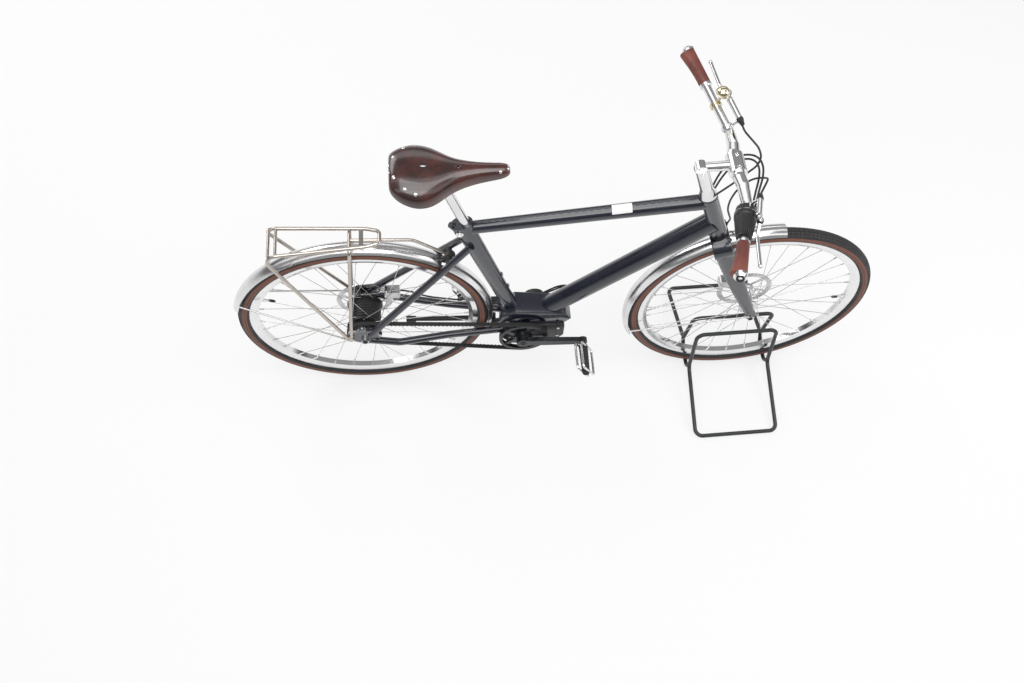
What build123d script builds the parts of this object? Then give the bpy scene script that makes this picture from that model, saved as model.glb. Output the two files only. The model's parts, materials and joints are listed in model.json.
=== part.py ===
"""Belt-driven electric city bicycle with a rear hub motor, standing in a bent-wire display stand.

Millimetres.  +X points forward, +Y to the rider's left and +Z up.  The origin is on the
ground, in the middle plane of the frame, straight below the rear axle.
"""
from build123d import *
from math import acos, atan2, cos, degrees, hypot, pi, radians, sin, sqrt
import os

os.makedirs("parts", exist_ok=True)

# ---------------------------------------------------------------- driving dimensions

# layout of the frame
WHEELBASE = 1096.0
TYRE_RADIUS = 350.0
CRANK_AXIS = Vector(446.0, 0.0, 285.0)
SEAT_ANGLE = 72.3
HEAD_ANGLE = 70.5
FORK_RAKE = 27.0
AXLE_TO_CROWN = 387.0
STEER_REST = 1.8

# frame tubes
HEAD_TUBE_LENGTH = 171.0
HEAD_TUBE_RADIUS = 22.5
HEAD_TUBE_WALL = 3.0
CUP_HEIGHT = 7.5
CUP_RADIUS = 23.5
BEARING_GAP = 0.4
SEAT_TUBE_LENGTH = 538.0
SEAT_TUBE_RADIUS = 17.5
SEAT_TUBE_FOOT_HALF_DEPTH = 21.0
SEAT_TUBE_TOP_HALF_DEPTH = 26.0
TOP_TUBE_REAR_FROM_CRANK = Vector(-149.0, 0.0, 489.0)
TOP_TUBE_FRONT_FROM_AXLE = Vector(-204.0, 0.0, 502.0)
TOP_TUBE_REAR_RADIUS = 17.0
TOP_TUBE_FRONT_RADIUS = 20.5
DOWN_TUBE_RADIUS = 28.0
DOWN_TUBE_RISE = Vector(-3.5, 0.0, 3.5)
DOWN_TUBE_TOP_FROM_AXLE = Vector(-175.0, 0.0, 412.0)
LUG_WALL = 3.5
LUG_LENGTH = 38.0
SEAT_STAY_RADIUS = 10.0
CHAIN_STAY_RADIUS = 10.5
DROPOUT_INNER = 69.0
DROPOUT_WALL = 7.0
BOSS_HOLE_RADIUS = 2.5
BOSS_HOLE_DEPTH = 9.0
BOSS_LOWER = 205.0
BOSS_SPACING = 64.0

# gearbox under the crank axis
GEARBOX_HALF_WIDTH = 40.0
BRIDGE_HALF_WIDTH = 34.0
BRIDGE_FLOOR = 322.0
SPINDLE_RADIUS = 12.0
RUNNING_GAP = 0.05

# belt drive
BELT_CENTRE = -53.0
BELT_WIDTH = 11.0
BELT_PITCH = 11.0
FRONT_TEETH = 40
REAR_TEETH = 28
BELT_INSIDE = 1.2
BELT_OUTSIDE = 2.2
BELT_GAP = 0.3
FRONT_PITCH_RADIUS = FRONT_TEETH * BELT_PITCH / (2 * pi)
REAR_PITCH_RADIUS = REAR_TEETH * BELT_PITCH / (2 * pi)

# cranks and pedals
CRANK_LENGTH = 170.0
CRANK_REST = 3.0
CRANK_INNER = 62.0
CRANK_THICKNESS = 14.0
PEDAL_FACE = 86.0
PEDAL_LENGTH = 92.0
PEDAL_CAGE_DEPTH = 66.0
PEDAL_TILT = 58.0
PEDAL_WIRE_RADIUS = 3.5

# wheels
TYRE_SECTION_RADIUS = 20.0
RIM_OUTER = TYRE_RADIUS - 32.5
RIM_INNER = RIM_OUTER - 24.5
RIM_HALF_WIDTH = 12.0
RIM_BED_HALF_WIDTH = 8.0
AXLE_RADIUS = 6.0
SPOKE_RADIUS = 0.9
NIPPLE_RADIUS = 2.2
NIPPLE_LENGTH = 14.0
SPOKES_PER_SIDE = 16
REAR_HUB_RADIUS = 43.0
REAR_FLANGE_RADIUS = 50.0
REAR_HUB_RIGHT = -41.0
REAR_HUB_LEFT = 49.0
REAR_FLANGES = (-33.0, 37.0)
FRONT_HUB_RADIUS = 17.0
FRONT_FLANGE_RADIUS = 29.0
FRONT_FLANGES = (-23.0, 23.0)
FRONT_HUB_HALF = 44.0
FLANGE_HALF_THICKNESS = 2.0
ROTOR_RADIUS = 80.0
ROTOR_RING = 15.0
ROTOR_THICKNESS = 2.0
REAR_ROTOR_CENTRE = 54.0
FRONT_ROTOR_CENTRE = 38.0

# fork
FORK_INNER = 50.0
FORK_END_WALL = 7.0
STEERER_RADIUS = 14.3
CROWN_HALF_WIDTH = 52.0
CROWN_DEPTH = 50.0
CROWN_ARCH_HALF_WIDTH = 31.0
BLADE_TOP_LENGTH = 46.0
BLADE_TOP_WIDTH = 21.0
BLADE_END_LENGTH = 27.0
BLADE_END_WIDTH = 13.0

# cockpit
STEM_PIVOT_HEIGHT = 690.0
STEM_COLUMN_RADIUS = 17.0
CLAMP_ALONG = 662.0
CLAMP_AHEAD = 80.4
CLAMP_RADIUS = 22.0
CLAMP_HALF_WIDTH = 27.0
BAR_CLAMP_RADIUS = 15.9
BAR_RADIUS = 11.1
BAR_HALF_WIDTH = 336.0
GRIP_INNER = 236.0
GRIP_OUTER = 326.0

# saddle and seat post
POST_RADIUS = 13.6
POST_FIT = 0.0
POST_BOTTOM = 430.0
POST_TOP = 725.0
SADDLE_REAR = 106.0
SADDLE_LENGTH = 283.0

# mudguards
GUARD_CLEARANCE = 12.0
GUARD_RADIUS = TYRE_RADIUS + GUARD_CLEARANCE
GUARD_WALL = 2.0
GUARD_HALF_WIDTH = 23.0
GUARD_DROP = 12.0
GUARD_STAY_RADIUS = 2.5

# rack
RACK_TUBE_RADIUS = 5.0
RACK_FOOT = Vector(-36.0, 0.0, TYRE_RADIUS + 21.0)
RACK_FOOT_Y = 84.0
RACK_REAR_X = -228.0
RACK_REAR_Y = 44.0
RACK_REAR_Z = TYRE_RADIUS + 388.0
RACK_FRONT_X = 34.0
RACK_FRONT_Y = 27.0
RACK_FRONT_Z = RACK_REAR_Z + 7.0

# kickstand
KICK_PIVOT = Vector(362.0, 40.0, 238.0)
KICK_LEG_LENGTH = 250.0
KICK_LEG_RADIUS = 8.0
KICK_SPLAY = 2.3

# display stand
STAND_WIRE_RADIUS = 6.0
STAND_FLOOR_HALF_LENGTH = 125.0
STAND_FLOOR_BACK = 9.0
STAND_FLOOR_HALF_WIDTH = 262.0
STAND_FLOOR_RIGHTWARD = 8.0
STAND_KNEE_HALF_LENGTH = 124.0
STAND_KNEE_HALF_WIDTH = 51.0
STAND_KNEE_HEIGHT = 45.0
STAND_TOP_HALF_LENGTH = 122.0
STAND_TOP_HALF_WIDTH = 28.5
STAND_TOP_HEIGHT = 205.0
STAND_TYRE_GAP = 0.3

# ---------------------------------------------------------------- derived places

UP_HEAD = Vector(-cos(radians(HEAD_ANGLE)), 0, sin(radians(HEAD_ANGLE)))
AHEAD = Vector(sin(radians(HEAD_ANGLE)), 0, cos(radians(HEAD_ANGLE)))
LEFT = Vector(0, 1, 0)
REAR_AXLE = Vector(0, 0, TYRE_RADIUS)
FRONT_AXLE = Vector(WHEELBASE, 0, TYRE_RADIUS)
STEER_FOOT = FRONT_AXLE - AHEAD * FORK_RAKE
STEER_AXIS = Axis(STEER_FOOT, UP_HEAD)
UP_SEAT = Vector(-cos(radians(SEAT_ANGLE)), 0, sin(radians(SEAT_ANGLE)))
SEAT_AHEAD = Vector(sin(radians(SEAT_ANGLE)), 0, cos(radians(SEAT_ANGLE)))
TOP_TUBE_REAR = CRANK_AXIS + TOP_TUBE_REAR_FROM_CRANK
TOP_TUBE_FRONT = FRONT_AXLE + TOP_TUBE_FRONT_FROM_AXLE
DOWN_TUBE_TOP = FRONT_AXLE + DOWN_TUBE_TOP_FROM_AXLE
LUG_RADIUS = SEAT_TUBE_RADIUS + LUG_WALL
HEAD_BOTTOM = AXLE_TO_CROWN + BEARING_GAP + CUP_HEIGHT
HEAD_TOP = HEAD_BOTTOM + HEAD_TUBE_LENGTH
STEM_BASE = HEAD_TOP + CUP_HEIGHT + BEARING_GAP
DROPOUT_OUTER = DROPOUT_INNER + DROPOUT_WALL


def head(along, ahead=0.0, left=0.0):
    """Point from its height up the steering axis, its distance ahead of it and to its left."""
    return STEER_FOOT + UP_HEAD * along + AHEAD * ahead + LEFT * left


def seat(along, ahead=0.0, left=0.0):
    """Point from its height up the seat tube, its distance ahead of it and to its left."""
    return CRANK_AXIS + UP_SEAT * along + SEAT_AHEAD * ahead + LEFT * left


# ---------------------------------------------------------------- shared shapes


def rod(start, end, radius):
    """Round bar from one point to another."""
    run = end - start
    return Solid.make_cylinder(radius, run.length, Plane(origin=start, z_dir=run))


def cone(start, end, start_radius, end_radius):
    """Round bar that tapers from one point to another."""
    run = end - start
    return Solid.make_cone(start_radius, end_radius, run.length, Plane(origin=start, z_dir=run))


def ring(start, end, outer, inner):
    """Round tube from one point to another."""
    overshoot = (end - start).normalized()
    return rod(start, end, outer) - rod(start - overshoot, end + overshoot, inner)


def ball(centre, radius):
    """Sphere that rounds off the corner where two bars meet."""
    return Pos(centre) * Sphere(radius)


def bent_bar(points, bends, radius):
    """Round bar along straight runs joined by bends; bends is one radius or one per corner."""
    path = FilletPolyline(*points, radius=bends)
    section = Plane(origin=path @ 0, z_dir=path % 0) * Circle(radius)
    return sweep(section, path=path)


def side_slab(outline, right, left):
    """Flat piece whose outline lies in the XZ plane, between two distances from the middle."""
    return Pos(0, left, 0) * extrude(Plane.XZ * outline, amount=left - right, dir=(0, -1, 0))


def turned(profile):
    """Ring turned about the Y axis from points given as (distance to the left, radius)."""
    return revolve(Plane.YZ * Polygon(*profile, align=None), axis=Axis.Y)


def mirrored(shape):
    """The same shape on the other side of the middle plane."""
    return mirror(shape, about=Plane.XZ)


def in_fork(shape):
    """Turn a piece drawn with the wheel straight ahead to where the steering rests."""
    return shape.rotate(STEER_AXIS, STEER_REST)


def save(name, *shapes):
    """Write one sub-part, made of one or more separate solids."""
    solids = [solid for shape in shapes for solid in shape.solids()]
    export_step(Compound(children=solids, label=name), f"parts/{name}.step")


# ---------------------------------------------------------------- frame


def head_tube_blank():
    return rod(head(HEAD_BOTTOM), head(HEAD_TOP), HEAD_TUBE_RADIUS)


def head_tube():
    """Head tube, bored for the steerer."""
    return ring(head(HEAD_BOTTOM), head(HEAD_TOP), HEAD_TUBE_RADIUS, HEAD_TUBE_RADIUS - HEAD_TUBE_WALL)


def headset_cups():
    """Bearing cups above and below the head tube."""
    bore = STEERER_RADIUS + RUNNING_GAP
    lower = ring(head(HEAD_BOTTOM - CUP_HEIGHT), head(HEAD_BOTTOM), CUP_RADIUS, bore)
    upper = ring(head(HEAD_TOP), head(HEAD_TOP + CUP_HEIGHT), CUP_RADIUS, bore)
    return lower, upper


def seat_tube_blank():
    """Seat tube outline, deeper than it is wide, with its front face where a round one would be."""
    sections = []
    for along, half_depth in ((0, SEAT_TUBE_FOOT_HALF_DEPTH), (SEAT_TUBE_LENGTH, SEAT_TUBE_TOP_HALF_DEPTH)):
        plane = Plane(origin=seat(along, SEAT_TUBE_RADIUS - half_depth), x_dir=SEAT_AHEAD, z_dir=UP_SEAT)
        sections.append(plane * Ellipse(half_depth, SEAT_TUBE_RADIUS))
    return loft(sections)


def boss_holes():
    """Two threaded bottle-cage holes in the front of the seat tube."""
    holes = []
    for along in (BOSS_LOWER, BOSS_LOWER + BOSS_SPACING):
        mouth = seat(along, SEAT_TUBE_RADIUS + 3.0)
        holes.append((mouth, rod(mouth - SEAT_AHEAD * BOSS_HOLE_DEPTH, mouth + SEAT_AHEAD, BOSS_HOLE_RADIUS)))
    return holes


def seat_tube(bridge, gearbox_block):
    """Seat tube with two bosses, bored for the seat post."""
    tube = seat_tube_blank()
    for mouth, hole in boss_holes():
        tube = tube + rod(mouth - SEAT_AHEAD * (BOSS_HOLE_DEPTH + 3.0), mouth, 6.0)
    bore = rod(seat(POST_BOTTOM - 20.0), seat(SEAT_TUBE_LENGTH + 1.0), POST_RADIUS + POST_FIT)
    tube = tube - bore - bridge - gearbox_block
    tube = tube - side_slab(Pos(CRANK_AXIS.X, CRANK_AXIS.Z) * Circle(60), -60, 60)
    for mouth, hole in boss_holes():
        tube = tube - hole
    return tube


def seat_lug():
    """Collar at the top of the seat tube, with its rear lip and the bolt that clamps the post."""
    high, half_depth = SEAT_TUBE_LENGTH, SEAT_TUBE_TOP_HALF_DEPTH
    foot = seat(high - LUG_LENGTH, SEAT_TUBE_RADIUS - half_depth)
    outline = Plane(origin=foot, x_dir=SEAT_AHEAD, z_dir=UP_SEAT) * Ellipse(half_depth + LUG_WALL, LUG_RADIUS)
    collar = extrude(outline, amount=LUG_LENGTH)
    lip = cone(seat(high - 14.0, -27.0), seat(high + 4.0, -37.0), 12.0, 8.0)
    bolt = rod(seat(high - 13.0, -21.0, -LUG_RADIUS - 0.5), seat(high - 13.0, -21.0, LUG_RADIUS + 0.5), 5.5)
    post_way = rod(seat(high - 1.0), seat(high + 16.0), POST_RADIUS + 0.8)
    return collar + lip + bolt - seat_tube_blank() - post_way


def top_tube(lug):
    """Top tube, slimmer at the seat."""
    tube = cone(TOP_TUBE_REAR, TOP_TUBE_FRONT, TOP_TUBE_REAR_RADIUS, TOP_TUBE_FRONT_RADIUS)
    upper_cup = rod(head(HEAD_TOP), head(HEAD_TOP + CUP_HEIGHT), CUP_RADIUS)
    return tube - head_tube_blank() - upper_cup - seat_tube_blank() - lug


def down_tube_blank():
    return rod(CRANK_AXIS + DOWN_TUBE_RISE, DOWN_TUBE_TOP + DOWN_TUBE_RISE, DOWN_TUBE_RADIUS)


def down_tube(bridge, gearbox_block):
    """Down tube, which holds the battery."""
    tube = down_tube_blank()
    return tube - head_tube_blank() - bridge - gearbox_block


def gearbox_outline():
    return Polygon((392, 322), (384, 262), (414, 226), (470, 212), (532, 222), (566, 262), (566, 322), align=None)


def gearbox_blank():
    return side_slab(fillet(gearbox_outline().vertices(), 9), -GEARBOX_HALF_WIDTH, GEARBOX_HALF_WIDTH)


def gearbox():
    """Gearbox housing with ribs and a boss each side around the crank spindle."""
    body = gearbox_blank()
    for side in (-1, 1):
        face = GEARBOX_HALF_WIDTH * side
        start = CRANK_AXIS + LEFT * (face - side)
        body = body + rod(start, CRANK_AXIS + LEFT * (face + 3.0 * side), 24.0)
    return body - rod(CRANK_AXIS - LEFT * 60, CRANK_AXIS + LEFT * 60, SPINDLE_RADIUS + RUNNING_GAP)


def gearbox_bridge():
    """Welded bridge that carries the gearbox and joins the seat, down and chain stay tubes."""
    outline = Polygon(
        (392, BRIDGE_FLOOR), (566, BRIDGE_FLOOR), (584, 344), (566, 372), (500, 384), (424, 396), (386, 372),
        (378, 340), align=None,
    )
    return side_slab(fillet(outline.vertices(), 6), -BRIDGE_HALF_WIDTH, BRIDGE_HALF_WIDTH)


def shift_box():
    """Round box on the gearbox's left side, where the two shift cables arrive."""
    centre = Vector(482, BRIDGE_HALF_WIDTH, 352)
    box = rod(centre, centre + LEFT * 16, 28.0)
    cover = rod(centre + LEFT * 16, centre + LEFT * 19, 21.0)
    return box + cover


SEAT_STAY_TOP = Vector(298.5, 19.0, 716.0)
SEAT_STAY_END = REAR_AXLE + Vector(17.0, 74.0, 22.0)
CHAIN_STAY_POINTS = [
    Vector(400, 32, 300), Vector(236, 50, 312), REAR_AXLE + Vector(96, 73.5, -28), REAR_AXLE + Vector(14, 73.5, -6),
]


def dropout():
    """Left dropout plate with its axle hole and rack boss."""
    outline = Polygon(
        (-16, -16), (-46, 8), (-48, 28), (-24, 36), (6, 46), (30, 48), (34, 22), (44, -4), (40, -22), (6, -24),
        align=None,
    )
    outline = Pos(REAR_AXLE.X, REAR_AXLE.Z) * fillet(outline.vertices(), 5)
    plate = side_slab(outline, DROPOUT_INNER, DROPOUT_OUTER)
    return plate - rod(REAR_AXLE + LEFT * 60, REAR_AXLE + LEFT * 90, AXLE_RADIUS)


def seat_stay(dropout_plate, lug):
    """Left seat stay."""
    return rod(SEAT_STAY_END, SEAT_STAY_TOP, SEAT_STAY_RADIUS) - seat_tube_blank() - dropout_plate - lug


def chain_stay(dropout_plate, bridge, gearbox_block):
    """Left chain stay; the right one passes through the belt's loop."""
    stay = bent_bar(CHAIN_STAY_POINTS, [160, 70], CHAIN_STAY_RADIUS)
    return stay - dropout_plate - bridge - gearbox_block


BRIDGE_ALONG = 0.2


def stay_bridge(stays):
    """Cast bridge between the seat stays, with the bolt eye for mudguard and rack."""
    centre = SEAT_STAY_TOP + (SEAT_STAY_END - SEAT_STAY_TOP) * BRIDGE_ALONG
    left_end = Vector(centre.X, centre.Y, centre.Z)
    right_end = Vector(centre.X, -centre.Y, centre.Z)
    middle = Vector(centre.X, 0, centre.Z)
    bar = rod(right_end, left_end, 8.0)
    inward = (REAR_AXLE - middle).normalized()
    seat_on_guard = REAR_AXLE - inward * (GUARD_RADIUS - 1)
    boss = rod(seat_on_guard, middle - inward * 14, 9.0)
    bridge = bar + boss
    bridge = bridge - Pos(REAR_AXLE) * guard(*REAR_GUARD)
    for stay in stays:
        bridge = bridge - stay
    return bridge


def rear_axle():
    """Rear axle with a nut outside each dropout."""
    axle = rod(REAR_AXLE - LEFT * 80, REAR_AXLE + LEFT * 80, AXLE_RADIUS)
    nuts = [
        rod(REAR_AXLE + LEFT * side * DROPOUT_OUTER, REAR_AXLE + LEFT * side * (DROPOUT_OUTER + 8), 11.0)
        for side in (-1, 1)
    ]
    return axle + nuts


# ---------------------------------------------------------------- belt drive


def belt_outline(rear_radius, front_radius):
    """Outline of a loop drawn tight round the two pulleys."""
    span = Vector(CRANK_AXIS.X - REAR_AXLE.X, CRANK_AXIS.Z - REAR_AXLE.Z)
    slope = atan2(span.Y, span.X)
    wrap = acos((rear_radius - front_radius) / span.length)

    def rim(centre, radius, angle):
        return (centre.X + radius * cos(angle), centre.Z + radius * sin(angle))

    top_rear = rim(REAR_AXLE, rear_radius, slope + wrap)
    top_front = rim(CRANK_AXIS, front_radius, slope + wrap)
    low_rear = rim(REAR_AXLE, rear_radius, slope - wrap)
    low_front = rim(CRANK_AXIS, front_radius, slope - wrap)
    edges = [
        Line(top_rear, top_front),
        ThreePointArc(top_front, rim(CRANK_AXIS, front_radius, slope), low_front),
        Line(low_front, low_rear),
        ThreePointArc(low_rear, rim(REAR_AXLE, rear_radius, slope + pi), top_rear),
    ]
    return make_face(edges)


def drive_belt():
    """Belt loop; its teeth and the pulleys' teeth meet inside this outline."""
    outer = belt_outline(REAR_PITCH_RADIUS + BELT_OUTSIDE, FRONT_PITCH_RADIUS + BELT_OUTSIDE)
    inner = belt_outline(REAR_PITCH_RADIUS - BELT_INSIDE, FRONT_PITCH_RADIUS - BELT_INSIDE)
    return side_slab(outer - inner, BELT_CENTRE - BELT_WIDTH / 2, BELT_CENTRE + BELT_WIDTH / 2)


def pulley(pitch_radius, arms, hub_radius, bore_radius, width):
    """Pulley about the Y axis at the belt's plane: rim, arms and hub."""
    rim_radius = pitch_radius - BELT_INSIDE - BELT_GAP
    right, left = BELT_CENTRE - width / 2, BELT_CENTRE + width / 2
    rim = turned([(right, rim_radius - 9), (right, rim_radius), (left, rim_radius), (left, rim_radius - 9)])
    arm_right, arm_left = BELT_CENTRE - 3.0, BELT_CENTRE + 3.0
    disc = turned([(arm_right, bore_radius), (arm_right, hub_radius), (arm_left, hub_radius), (arm_left, bore_radius)])
    wheel = rim + disc
    reach = (rim_radius - 9 + hub_radius) / 2
    for index in range(arms):
        bar = Pos(0, BELT_CENTRE, reach) * Box(13.0, 6.0, rim_radius - 9 - hub_radius + 6.0)
        wheel = wheel + Rot(0, 360.0 * index / arms + 18.0, 0) * bar
    return wheel


def front_pulley():
    """Pulley on the crank spindle."""
    return Pos(CRANK_AXIS) * pulley(FRONT_PITCH_RADIUS, 5, 27.0, SPINDLE_RADIUS, BELT_WIDTH + 1.0)


def rear_pulley():
    """Pulley on the rear hub, with the sleeve that drives the hub."""
    wheel = pulley(REAR_PITCH_RADIUS, 4, 24.0, AXLE_RADIUS + 3.0, BELT_WIDTH + 1.0)
    sleeve = turned([
        (REAR_HUB_RIGHT, AXLE_RADIUS + 3.0), (REAR_HUB_RIGHT, 19.0), (BELT_CENTRE, 19.0),
        (BELT_CENTRE, AXLE_RADIUS + 3.0),
    ])
    return Pos(REAR_AXLE) * (wheel + sleeve)


# ---------------------------------------------------------------- cranks and pedals


def crank_arm(side):
    """One crank arm, from the spindle to the pedal eye, pointing forward."""
    inner_start, inner_end = CRANK_INNER, PEDAL_FACE - CRANK_THICKNESS
    arm_outline = Polygon(
        (0, inner_start), (0, inner_start + CRANK_THICKNESS), (CRANK_LENGTH, PEDAL_FACE),
        (CRANK_LENGTH, inner_end), align=None,
    )
    blank = extrude(Plane.XY * arm_outline, amount=13.0, both=True)
    taper_outline = Polygon((-30, 14), (CRANK_LENGTH + 20, 9), (CRANK_LENGTH + 20, -9), (-30, -14), align=None)
    arm = blank & side_slab(taper_outline, 40, 110)
    arm = arm + rod(LEFT * inner_start, LEFT * (inner_start + CRANK_THICKNESS + 1), 19.0)
    eye = Vector(CRANK_LENGTH, 0, 0)
    arm = arm + rod(eye + LEFT * inner_end, eye + LEFT * PEDAL_FACE, 13.0)
    return arm if side > 0 else mirrored(arm)


def crank_arms():
    """Both cranks on one spindle, the right one ahead."""
    spindle = rod(LEFT * -(CRANK_INNER + 4), LEFT * (CRANK_INNER + 4), SPINDLE_RADIUS)
    right = Rot(0, -CRANK_REST, 0) * crank_arm(-1)
    left = Rot(0, 180 - CRANK_REST, 0) * crank_arm(1)
    spider = rod(LEFT * (BELT_CENTRE - 3.0), LEFT * -CRANK_INNER, 26.0)
    return Pos(CRANK_AXIS) * (spindle + right + left + spider)


def pedal_centre(side):
    """Middle of a pedal's axle where it meets its crank."""
    reach = CRANK_LENGTH if side < 0 else -CRANK_LENGTH
    angle = radians(CRANK_REST)
    return CRANK_AXIS + Vector(reach * cos(angle), PEDAL_FACE * side, reach * sin(angle))


def pedal(side):
    """Cage pedal: an axle, a body and two wire loops."""
    axle = rod(LEFT * 0.0, LEFT * (PEDAL_LENGTH + 6), 6.0)
    body = turned([(10, 0), (10, 13), (PEDAL_LENGTH, 11), (PEDAL_LENGTH + 8, 9), (PEDAL_LENGTH + 8, 0)])
    shape = axle + body
    near, far, half = 14.0, PEDAL_LENGTH + 2, PEDAL_CAGE_DEPTH / 2
    for height in (-9.0, 9.0):
        corners = [
            Vector(0, near, height), Vector(half, near, height), Vector(half, far, height), Vector(0, far, height),
        ]
        loop = bent_bar(corners, 10, PEDAL_WIRE_RADIUS)
        shape = shape + loop + loop.mirror(Plane.YZ)
    shape = Rot(0, PEDAL_TILT, 0) * shape
    if side < 0:
        shape = mirrored(shape)
    return Pos(pedal_centre(side)) * shape


# ---------------------------------------------------------------- wheels


def rim_blank():
    return turned([
        (-RIM_HALF_WIDTH, RIM_OUTER), (-RIM_HALF_WIDTH, RIM_INNER + 11), (-RIM_BED_HALF_WIDTH, RIM_INNER),
        (RIM_BED_HALF_WIDTH, RIM_INNER), (RIM_HALF_WIDTH, RIM_INNER + 11), (RIM_HALF_WIDTH, RIM_OUTER),
    ])


def tyre():
    """Tyre, seated on the rim."""
    middle = TYRE_RADIUS - TYRE_SECTION_RADIUS
    section = Plane.YZ * Pos(0, middle) * Circle(TYRE_SECTION_RADIUS)
    return revolve(section, axis=Axis.Y) - rim_blank()


def spoke(hub_angle, rim_angle, flange, hole_radius, side, outside):
    """One spoke: elbow through the flange, straight shaft and nipple."""
    step = side if outside else -side
    offset = FLANGE_HALF_THICKNESS + (3.0 if outside else 1.2)
    face = flange + step * FLANGE_HALF_THICKNESS

    def place(radius, angle, left):
        return Vector(radius * sin(radians(angle)), left, radius * cos(radians(angle)))

    elbow_start = place(hole_radius, hub_angle, face)
    elbow = place(hole_radius, hub_angle, flange + step * offset)
    end = place(RIM_INNER + 0.6, rim_angle, 2.5 * side)
    shaft = end - elbow
    nipple_start = end - shaft.normalized() * NIPPLE_LENGTH
    return rod(elbow_start, elbow, 1.2) + ball(elbow, 1.2) + rod(elbow, end, SPOKE_RADIUS) + rod(
        nipple_start, end, NIPPLE_RADIUS)


def spokes(flanges, flange_radius, crossings):
    """All spokes of a wheel, crossing on each side."""
    pitch = 360.0 / SPOKES_PER_SIDE
    rim = rim_blank()
    made = []
    for side, flange in ((-1, flanges[0]), (1, flanges[1])):
        for index in range(SPOKES_PER_SIDE):
            hub_angle = pitch * index + (pitch / 2 if side > 0 else 0.0)
            outside = index % 2 == 0
            lead = crossings * pitch if outside else -crossings * pitch
            whole = spoke(hub_angle, hub_angle + lead, flange, flange_radius - 4.0, side, outside)
            made.append(whole - rim)
    return made


def hub(right, left, radius, flanges, flange_radius):
    """Hub shell with its two flanges, bored for the axle."""
    t = FLANGE_HALF_THICKNESS
    bore = AXLE_RADIUS + RUNNING_GAP
    profile = [
        (right, bore), (right, radius * 0.8), (flanges[0] - t, radius), (flanges[0] - t, flange_radius),
        (flanges[0] + t, flange_radius), (flanges[0] + t, radius), (flanges[1] - t, radius),
        (flanges[1] - t, flange_radius), (flanges[1] + t, flange_radius), (flanges[1] + t, radius),
        (left, radius * 0.8), (left, bore),
    ]
    return turned(profile)


def rotor(centre, hub_end):
    """Brake disc: ring, six arms and the carrier that sits on the hub."""
    right, left = centre - ROTOR_THICKNESS / 2, centre + ROTOR_THICKNESS / 2
    inner = ROTOR_RADIUS - ROTOR_RING
    disc = turned([(right, inner), (right, ROTOR_RADIUS), (left, ROTOR_RADIUS), (left, inner)])
    bore = AXLE_RADIUS + 1.5
    disc = disc + turned([(hub_end, bore), (hub_end, 20), (left, 24), (left, bore)])
    for index in range(6):
        arm = Pos(0, centre, (inner + 24) / 2) * Box(8.0, ROTOR_THICKNESS, inner - 24 + 8)
        disc = disc + Rot(0, 60.0 * index, 0) * arm
    return disc


def at_rear(shape):
    return Pos(REAR_AXLE) * shape


def at_front(shape):
    return in_fork(Pos(FRONT_AXLE) * shape)


# ---------------------------------------------------------------- fork


def fork_crown():
    """Steerer and crown, arched over the mudguard."""
    steerer = rod(head(AXLE_TO_CROWN - 6), head(STEM_BASE + 40), STEERER_RADIUS)
    half, arch = CROWN_HALF_WIDTH, CROWN_ARCH_HALF_WIDTH
    outline = Polygon(
        (-22, 0), (-half + 6, -14), (-half, -24), (-half, -44), (-arch, -44), (-arch + 4, -27), (-arch + 14, -21),
        (arch - 14, -21), (arch - 4, -27), (arch, -44), (half, -44), (half, -24), (half - 6, -14), (22, 0),
        align=None,
    )
    plane = Plane(origin=head(AXLE_TO_CROWN), x_dir=LEFT, z_dir=AHEAD)
    flipped = plane.y_dir.dot(UP_HEAD) < 0
    face = plane * (outline.mirror(Plane.XZ) if flipped else outline)
    block = extrude(face, amount=CROWN_DEPTH / 2, both=True)
    round_front = rod(head(AXLE_TO_CROWN - 60), head(AXLE_TO_CROWN), 62.0)
    return steerer + (block & round_front)


def fork_blades():
    """Two flattened blades that taper to the front axle."""
    top = head(AXLE_TO_CROWN - 44, 0, (CROWN_HALF_WIDTH + CROWN_ARCH_HALF_WIDTH) / 2)
    end = FRONT_AXLE + LEFT * (FORK_INNER + FORK_END_WALL / 2) + UP_HEAD * 14
    run = end - top
    tube = []
    for share, length, width in (
        (-0.02, BLADE_TOP_LENGTH, BLADE_TOP_WIDTH), (0.5, BLADE_TOP_LENGTH * 0.96, BLADE_TOP_WIDTH * 0.9),
        (1.0, BLADE_END_LENGTH, BLADE_END_WIDTH),
    ):
        plane = Plane(origin=top + run * share, x_dir=AHEAD, z_dir=run)
        tube.append(plane * Ellipse(length / 2, width / 2))
    seat = head(AXLE_TO_CROWN - 44)
    blade = loft(tube) - rod(seat, seat + UP_HEAD * 60, 90.0)
    tab = side_slab(Pos(FRONT_AXLE.X, FRONT_AXLE.Z) * Circle(14), FORK_INNER, FORK_INNER + FORK_END_WALL)
    slab = side_slab(Pos(FRONT_AXLE.X - 4, FRONT_AXLE.Z + 16) * Circle(14), FORK_INNER, FORK_INNER + FORK_END_WALL)
    side = blade + tab + slab
    side = side - rod(FRONT_AXLE, FRONT_AXLE + LEFT * 90, AXLE_RADIUS)
    inside = side_slab(Pos(FRONT_AXLE.X, FRONT_AXLE.Z) * Circle(60), 0, FORK_INNER)
    side = side - inside
    return side, mirrored(side)


def front_axle():
    """Front axle with a head each side."""
    outer = FORK_INNER + FORK_END_WALL
    axle = rod(FRONT_AXLE - LEFT * outer, FRONT_AXLE + LEFT * outer, AXLE_RADIUS)
    heads = [
        rod(FRONT_AXLE + LEFT * side * outer, FRONT_AXLE + LEFT * side * (outer + 6), 9.0) for side in (-1, 1)
    ]
    return axle + heads


# ---------------------------------------------------------------- cockpit


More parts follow.
